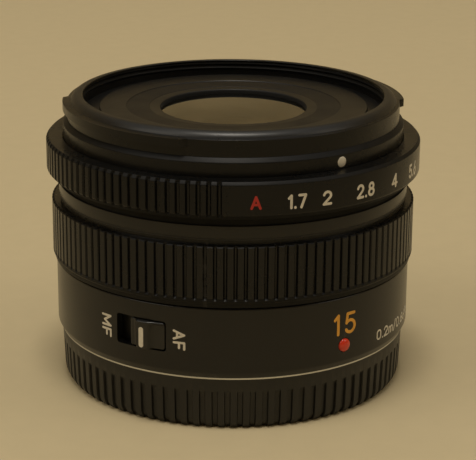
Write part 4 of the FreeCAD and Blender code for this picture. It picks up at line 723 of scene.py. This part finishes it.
lug_ends = [side * (LUG_MIDDLE_DEG + end * LUG_HALF_DEG + step * LUG_SLOPE_DEG / 4)
            for side in (1, -1) for end in (-1, 1) for step in range(-2, 3)]
front_angles = sorted(set(even(288)) | {round(angle % 360, 4) for angle in lug_ends})
front = spun("front_shell", front_rows, front_angles, "front", "barrel_black", "barrel", front_relief)
# The thread's wall and the channel floor get the dull black of a real thread, darkened further as painted
# shade for the deep channel.
refinish(front, "dull_black_and_shade", lambda r, z: r < THREAD_R + 0.4 and z < THREAD_TOP + 0.05)
refinish(front, "rim", lambda r, z: r > THREAD_R + 0.2 and z > RIM_LOW)
refinish(front, "edge", lambda r, z: r > SEAT_R and CHAMFER_LOW < z < CHAMFER_HIGH)
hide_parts("front_barrel")

# Name ring, bare: a flat plate round a cone that falls to the glass

NAME_CONE_R, NAME_LIP_R, NAME_LIP_Z = 16.4, 11.2, 42.2
name_rows = filleted([
    (20.3, 41.2), (20.5, 41.65, 0.0), (22.7, 41.65), (22.7, 42.0, 0.08), (20.5, 42.0, 0.05),
    (20.5, 42.55, 0.12), (NAME_CONE_R, 42.48, 0.04), (16.3, 42.36, 0.04), (12.95, 42.3, 0.04),
    (12.85, 42.24, 0.04), (NAME_LIP_R, NAME_LIP_Z, 0.3), (11.1, 41.5, 0.02), (11.8, 41.5), (12.6, 41.16),
    (20.2, 41.16)], steps=4)
name_ring = spun("name_plate_ring", name_rows, even(240), "name", "name_black", "barrel")
refinish(name_ring, "dull_black_and_shade", lambda r, z: r < NAME_LIP_R + 0.1 and z < NAME_LIP_Z - 0.01)
refinish(name_ring, "cone", lambda r, z: 12.8 < r < NAME_CONE_R + 0.06 and z > NAME_LIP_Z)
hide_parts("name_ring")

# Front element: a meniscus whose front lies under the name ring's lip

GLASS_TOP, GLASS_FRONT_R, GLASS_FRONT_CLEAR = 41.66, 400.0, 11.9
GLASS_BACK_Z, GLASS_BACK_R, GLASS_BACK_CLEAR = 40.1, 14.0, 9.4
GLASS_EDGE_R, GLASS_SHOULDER = 12.3, 41.1


def sphere_drop(r, radius):
    """How far a sphere's surface lies below its top at a distance r from the axis."""
    return radius - math.sqrt(radius * radius - r * r)


glass_rows = [(r, GLASS_TOP - sphere_drop(r, GLASS_FRONT_R)) for r in np.linspace(0.0, GLASS_FRONT_CLEAR, 16)]
glass_rows += [(GLASS_EDGE_R, GLASS_SHOULDER), (GLASS_EDGE_R, 36.6), (GLASS_BACK_CLEAR, 36.5)]
glass_rows += [(r, GLASS_BACK_Z - sphere_drop(r, GLASS_BACK_R))
               for r in np.linspace(GLASS_BACK_CLEAR, 0.0, 14)]
front_element = spun("front_glass_body", glass_rows, even(160), "front_glass", "front_glass", "barrel")
refinish(front_element, "inner_glass", lambda r, z: z < GLASS_SHOULDER)
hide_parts("front_element")

# Lettering. Letters are strokes in a box one unit high. Each entry is its width and its strokes.


def arc(cx, cy, rx, ry, start, end, steps=8):
    """Points along an ellipse, from one angle to another in degrees."""
    turns = [math.radians(start + (end - start) * k / steps) for k in range(steps + 1)]
    return [(cx + rx * math.cos(turn), cy + ry * math.sin(turn)) for turn in turns]


LETTERS = {
    "0": (0.56, [arc(0.28, 0.72, 0.28, 0.28, 0, 180) + arc(0.28, 0.28, 0.28, 0.28, 180, 360)
                 + [(0.56, 0.72)]]),
    "1": (0.2, [[(0.0, 0.79), (0.2, 1.0), (0.2, 0.0)]]),
    "2": (0.58, [arc(0.29, 0.71, 0.28, 0.29, 170, -35) + [(0.0, 0.0), (0.58, 0.0)]]),
    "4": (0.62, [[(0.46, 0.0), (0.46, 1.0), (0.0, 0.27), (0.62, 0.27)]]),
    "5": (0.58, [[(0.52, 1.0), (0.1, 1.0), (0.05, 0.52)] + arc(0.28, 0.32, 0.29, 0.32, 130, -150, 14)]),
    "6": (0.56, [[(0.42, 1.0), (0.06, 0.42)] + arc(0.28, 0.28, 0.27, 0.28, 150, 510, 16)]),
    "7": (0.54, [[(0.0, 1.0), (0.54, 1.0), (0.18, 0.0)]]),
    "8": (0.56, [arc(0.28, 0.76, 0.23, 0.24, -90, 270, 16), arc(0.28, 0.27, 0.28, 0.27, 90, 450, 16)]),
    ".": (0.06, [[(0.03, 0.0), (0.03, 0.03)]]),
    "/": (0.4, [[(0.0, -0.08), (0.4, 1.05)]]),
    "A": (0.76, [[(0.0, 0.0), (0.38, 1.0), (0.76, 0.0)], [(0.13, 0.32), (0.63, 0.32)]]),
    "M": (0.88, [[(0.0, 0.0), (0.0, 1.0), (0.44, 0.25), (0.88, 1.0), (0.88, 0.0)]]),
    "F": (0.6, [[(0.0, 0.0), (0.0, 1.0), (0.6, 1.0)], [(0.0, 0.5), (0.5, 0.5)]]),
    "m": (0.7, [[(0.0, 0.0), (0.0, 0.68)],
                [(0.0, 0.5)] + arc(0.18, 0.5, 0.17, 0.18, 180, 0, 6) + [(0.35, 0.0)],
                [(0.35, 0.5)] + arc(0.53, 0.5, 0.17, 0.18, 180, 0, 6) + [(0.7, 0.0)]]),
    "f": (0.34, [arc(0.3, 0.82, 0.16, 0.18, 90, 180, 5) + [(0.14, 0.0)], [(0.0, 0.66), (0.3, 0.66)]]),
    "t": (0.34, [[(0.14, 0.9)] + arc(0.3, 0.16, 0.16, 0.16, 180, 270, 5), [(0.0, 0.66), (0.3, 0.66)]]),
}
STROKE_STEP = 0.35
SHARP_TURN = math.cos(math.radians(35))
STROKE_END_SIDES = 14
# A mark stands out of its surface by the lift and is as thick as the depth
MARK_DEPTH, MARK_LIFT = 0.05, 0.018


def heading(start, end):
    """The unit vector from one point to another."""
    way = end - start
    return way / np.linalg.norm(way)


def stroke_outlines(line, half):
    """Outlines that together cover a stroke: quads along it, discs at its ends and sharp corners."""
    line = [np.array(p, float) for p in line]
    outlines = [circle(half, STROKE_END_SIDES, *line[0]), circle(half, STROKE_END_SIDES, *line[-1])]
    ways = [heading(a, b) for a, b in zip(line, line[1:])]
    smooth_joint = [float(np.dot(a, b)) > SHARP_TURN for a, b in zip(ways, ways[1:])]
    corners = [point for point, soft in zip(line[1:], smooth_joint) if not soft]
    outlines += [circle(half, STROKE_END_SIDES, *corner) for corner in corners]

    def side(k, at_end):
        """Half the stroke's width at one end of a segment, mitred where the joint is smooth."""
        way = ways[k]
        joint = k if at_end else k - 1
        if 0 <= joint < len(smooth_joint) and smooth_joint[joint]:
            other = ways[k + 1] if at_end else ways[k - 1]
            way = (way + other) / np.linalg.norm(way + other)
        return np.array([-way[1], way[0]]) * half / float(np.dot(way, ways[k]))

    for k, (start, end) in enumerate(zip(line, line[1:])):
        steps = max(1, math.ceil(np.linalg.norm(end - start) / STROKE_STEP))
        first, last = side(k, False), side(k, True)
        for i in range(steps):
            a, b = i / steps, (i + 1) / steps
            here, there = start + (end - start) * a, start + (end - start) * b
            near, far = first + (last - first) * a, first + (last - first) * b
            outlines.append([tuple(here - near), tuple(there - far), tuple(there + far), tuple(here + near)])
    return outlines


# What delaunay_2d_cdt is asked for: the triangles inside the outlines, with near points made one
INSIDE_ONLY, WELD = 1, 1e-5


def united(outlines):
    """One flat mesh, without overlaps, that covers all the outlines, which are convex."""
    points, loops = [], []
    for outline in outlines:
        loops.append(list(range(len(points), len(points) + len(outline))))
        points += [Vector(p) for p in outline]
    made = delaunay_2d_cdt(points, [], loops, INSIDE_ONLY, WELD)
    flat = np.array([tuple(p) for p in made[0]])
    middles = np.array([flat[list(face)].mean(0) for face in made[2]])
    covered = np.zeros(len(middles), bool)
    for outline in outlines:
        corners = np.array(outline)
        inside = np.ones(len(middles), bool)
        for a, b in zip(corners, np.roll(corners, -1, 0)):
            inside &= (b[0] - a[0]) * (middles[:, 1] - a[1]) >= (b[1] - a[1]) * (middles[:, 0] - a[0])
        covered |= inside
    return [tuple(p) for p in flat], [tuple(face) for face, kept in zip(made[2], covered) if kept]


def thin_body(flat, faces, place):
    """Closes a flat mesh into a thin body. place(x, y, depth) puts a point of it in space."""
    points = [place(x, y, 0.0) for x, y in flat] + [place(x, y, MARK_DEPTH) for x, y in flat]
    count = len(flat)
    edges = dict.fromkeys((a, b) for face in faces for a, b in zip(face, face[1:] + face[:1]))
    walls = [(a, a + count, b + count, b) for a, b in edges if (b, a) not in edges]
    return points, list(faces) + [tuple(i + count for i in face)[::-1] for face in faces] + walls


def strokes_body(name, lines, weight, place, finish, slot_name, body):
    """Strokes of one weight, the width of a stroke, as one thin body."""
    outlines = [outline for line in lines for outline in stroke_outlines(line, weight / 2)]
    return new_piece(name, *thin_body(*united(outlines), place), finish, slot_name, body)


def written(name, text, span, heights, weight, radius, finish, slot_name, body, gap=0.3, turned=False):
    """Words on a cylinder that fill a span of angles and of heights. Turned words read downwards."""
    advance, lines = 0.0, []
    for letter in text:
        width, strokes = LETTERS[letter]
        lines += [[(x + advance, y) for x, y in stroke] for stroke in strokes]
        advance += width + gap
    length = advance - gap
    low, high = heights
    left, right = (math.radians(angle) * radius for angle in span)
    along = (high - low if turned else right - left) - weight
    tall = (right - left if turned else high - low) - weight
    flat_lines = [[(x / length * along, y * tall) for x, y in line] for line in lines]

    def place(x, y, depth):
        if turned:
            across, z = left + weight / 2 + y, high - weight / 2 - x
        else:
            across, z = left + weight / 2 + x, low + weight / 2 + y
        return around(radius + MARK_LIFT - depth, math.degrees(across / radius), z)

    return strokes_body(name, flat_lines, weight, place, finish, slot_name, body)


written("focal_length", "15", (-4.3, 4.6), (13.2, 16.6), 0.47, BARREL_R, "amber_mark", "barrel_black",
        "barrel", gap=0.46)
written("mark_mf", "MF", (-81.2, -77.1), (12.2, 15.68), 0.34, BARREL_R, "white", "barrel_black", "barrel",
        gap=0.36, turned=True)
written("mark_af", "AF", (-55.1, -51.1), (12.36, 15.48), 0.34, BARREL_R, "white", "barrel_black", "barrel",
        gap=0.36, turned=True)
written("nearest_distance", "0.2m/0.66ft", (15.1, 43.2), (10.3, 11.95), 0.26, BARREL_R, "white",
        "barrel_black", "barrel", gap=0.27)
STOPS = {"1.7": (-21.4, -15.65), "2": (-10.75, -7.65), "2.8": (1.1, 8.3), "4": (16.75, 20.0),
         "5.6": (28.35, 35.5), "8": (43.0, 46.0), "11": (56.1, 59.4), "16": (68.6, 73.4)}
STOP_HEIGHTS, STOP_WEIGHT = (34.07, 36.23), 0.38
for label, span in STOPS.items():
    written("stop_" + label, label, span, STOP_HEIGHTS, STOP_WEIGHT, APERTURE_R, "white", "ring_black",
            "aperture_ring")
written("stop_auto", "A", (-32.05, -28.85), (34.25, 36.28), 0.37, APERTURE_R, "red_mark", "ring_black",
        "aperture_ring")

INDEX_DEG, INDEX_Z, INDEX_SIZE = -0.38, 39.2, 1.55
DOT_HEIGHT = 0.08


def round_mark(name, radius, middle, z, size, finish, slot_name, body, count=32):
    """A slightly domed dot on a cylinder."""
    # share of the dot's radius, and how far it stands out there
    rings = [(0.45, 0.075), (0.75, 0.055), (0.93, 0.025), (1.0, 0.0), (1.0, -MARK_DEPTH)]
    points = [around(radius + DOT_HEIGHT, middle, z)]
    for share, lift in rings:
        points += [around(radius + lift, middle + math.degrees(x / radius), z + y)
                   for x, y in circle(share * size / 2, count)]
    faces = [(0, 1 + k, 1 + (k + 1) % count) for k in range(count)]
    for ring in range(len(rings) - 1):
        faces += belt(1 + count * (ring + 1), 1 + count * ring, count)
    last = 1 + count * (len(rings) - 1)
    faces.append(tuple(range(last, last + count)))
    return new_piece(name, points, faces, finish, slot_name, body, DOME_SHARP_DEG)


round_mark("aperture_index", SKIRT_R, INDEX_DEG, INDEX_Z, INDEX_SIZE, "white", "barrel_black", "barrel")

RIDGE_LINE_DEG, RIDGE_LINE_WIDTH = -64.85, 0.76
RIDGE_LINE_LOW, RIDGE_LINE_HIGH = 12.2, 15.35


def on_ridge(x, y, depth):
    """A point of the line on the switch's ridge: sideways, up and into it."""
    return around(RIDGE_R + MARK_LIFT - depth, RIDGE_LINE_DEG + math.degrees(x / RIDGE_R), y)


ridge_line = [(0.0, RIDGE_LINE_LOW + RIDGE_LINE_WIDTH / 2), (0.0, RIDGE_LINE_HIGH - RIDGE_LINE_WIDTH / 2)]
strokes_body("switch_mark", [ridge_line], RIDGE_LINE_WIDTH, on_ridge, "white", "switch_black", "switch_knob")

# Red bead, domed, in the barrel's pocket

BEAD_R, BEAD_FOOT, BEAD_SHOULDER, BEAD_DOME, BEAD_LAST_DEG = 1.02, 26.95, 27.42, 0.52, 84


def bead_mesh(count=40, steps=9):
    """A glossy dome that stands out along -Y."""
    profile = [(BEAD_R, BEAD_FOOT)]
    profile += [(BEAD_R * math.cos(t), BEAD_SHOULDER + BEAD_DOME * math.sin(t))
                for t in np.linspace(0.0, math.radians(BEAD_LAST_DEG), steps)]
    points, faces = [], []
    for size, out in profile:
        points += [(x, -out, BEAD_Z + y) for x, y in circle(size, count)]
    for i in range(len(profile) - 1):
        faces += belt(count * i, count * (i + 1), count)
    last = count * (len(profile) - 1)
    faces.append(tuple(range(last, last + count)))
    faces.append(tuple(range(count - 1, -1, -1)))
    return points, faces


bead = new_piece("mount_bead", *bead_mesh(), "red", "bead_red", "barrel", DOME_SHARP_DEG)
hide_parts("mount_index_bead")

# Stage

BEIGE = (0.555, 0.464, 0.288)
FLOOR_R, COVE_R, WALL_TOP = 1.4, 0.9, 2.4
FLOOR_DROP = 0.00001


def stage_mesh(count=96):
    """A round floor just under the lens, which rises into a wall all the way round."""
    profile = [(0.0, 0.0), (0.1, 0.0), (0.3, 0.0), (0.7, 0.0), (FLOOR_R, 0.0)]
    profile += [(FLOOR_R + COVE_R * math.sin(t), COVE_R - COVE_R * math.cos(t))
                for t in np.linspace(0.1, math.pi / 2, 12)]
    profile += [(FLOOR_R + COVE_R, 1.6), (FLOOR_R + COVE_R, WALL_TOP)]
    points, faces = [], []
    for r, z in profile:
        points += [(x, y, z - FLOOR_DROP) for x, y in circle(r, count)]
    for i in range(len(profile) - 1):
        faces += belt(count * i, count * (i + 1), count)
    mesh = bpy.data.meshes.new("floor")
    mesh.from_pydata(points, [], faces)
    mesh.update()
    mesh.shade_smooth()
    return mesh


floor = bpy.data.objects.new("floor", stage_mesh())
bpy.context.scene.collection.objects.link(floor)
floor_mat, tree, shader = material("floor_paper")
fibres = noise(tree, (240, 240, 240), detail=6)
tree.links.new(ramp(tree, fibres, 0.3, 0.7, scaled(BEIGE, 0.985), scaled(BEIGE, 1.015)),
               shader.inputs["Base Color"])
shader.inputs["Roughness"].default_value = 0.85
shader.inputs["Specular IOR Level"].default_value = 0.15
floor.data.materials.append(floor_mat)

# Light: a dim warm room and three soft lamps

ROOM_COLOUR, ROOM_STRENGTH = (1.0, 0.94, 0.84, 1.0), 0.43
LAMP_COLOUR, LAMP_DISTANCE = (1.0, 0.93, 0.81), 1.6
TARGET = (0.0, 0.0, 0.022)
AZIMUTH, ELEVATION = math.radians(-37.1), math.radians(17.646)
scene = bpy.context.scene
world = bpy.data.worlds.new("studio")
scene.world = world
world.use_nodes = True
background = world.node_tree.nodes["Background"]
background.inputs["Color"].default_value = ROOM_COLOUR
background.inputs["Strength"].default_value = ROOM_STRENGTH


def softbox(name, place, width, height, watts):
    """A flat lamp that faces the object."""
    lamp = bpy.data.lights.new(name, "AREA")
    lamp.shape = "RECTANGLE"
    lamp.size, lamp.size_y = width, height
    lamp.energy = watts
    lamp.color = LAMP_COLOUR
    made = bpy.data.objects.new(name, lamp)
    scene.collection.objects.link(made)
    made.location = place
    made.rotation_mode = "QUATERNION"
    made.rotation_quaternion = (Vector(TARGET) - Vector(place)).to_track_quat("-Z", "Y")


def lamp_place(turn_deg, height_deg):
    """A lamp's place round the object, its turn counted from the camera's side."""
    a, e = AZIMUTH + math.radians(turn_deg), math.radians(height_deg)
    return (LAMP_DISTANCE * math.sin(a) * math.cos(e), -LAMP_DISTANCE * math.cos(a) * math.cos(e),
            TARGET[2] + LAMP_DISTANCE * math.sin(e))


softbox("top", lamp_place(-4, 80), 0.4, 0.4, 10.6)
softbox("left", lamp_place(-62, 42), 0.9, 0.9, 3.8)
softbox("right", lamp_place(75, 35), 0.7, 0.9, 2.0)

# Camera, as fitted to the photograph

ROLL = math.radians(0.3947)
CAMERA_DISTANCE = 0.28
SENSOR_MM = 36.0
PHOTO_WIDTH_PX, FOCAL_LENGTH_PX = 476, 1786.36
look_at = Vector((0.663, -0.501, 22.229)) * MM
back = Vector((math.sin(AZIMUTH) * math.cos(ELEVATION), -math.cos(AZIMUTH) * math.cos(ELEVATION),
               math.sin(ELEVATION)))
right = Vector((math.cos(AZIMUTH), math.sin(AZIMUTH), 0.0))
up = back.cross(right)
rolled_right = right * math.cos(ROLL) + up * math.sin(ROLL)
rolled_up = up * math.cos(ROLL) - right * math.sin(ROLL)
camera_data = bpy.data.cameras.new("camera")
camera_data.sensor_width = SENSOR_MM
camera_data.lens = FOCAL_LENGTH_PX / PHOTO_WIDTH_PX * SENSOR_MM
camera_data.clip_start, camera_data.clip_end = 0.01, 20.0
camera = bpy.data.objects.new("camera", camera_data)
scene.collection.objects.link(camera)
turn = Matrix((rolled_right, rolled_up, back)).transposed().to_4x4()
camera.matrix_world = Matrix.Translation(look_at + back * CAMERA_DISTANCE) @ turn
scene.camera = camera

scene.view_settings.view_transform = "Standard"
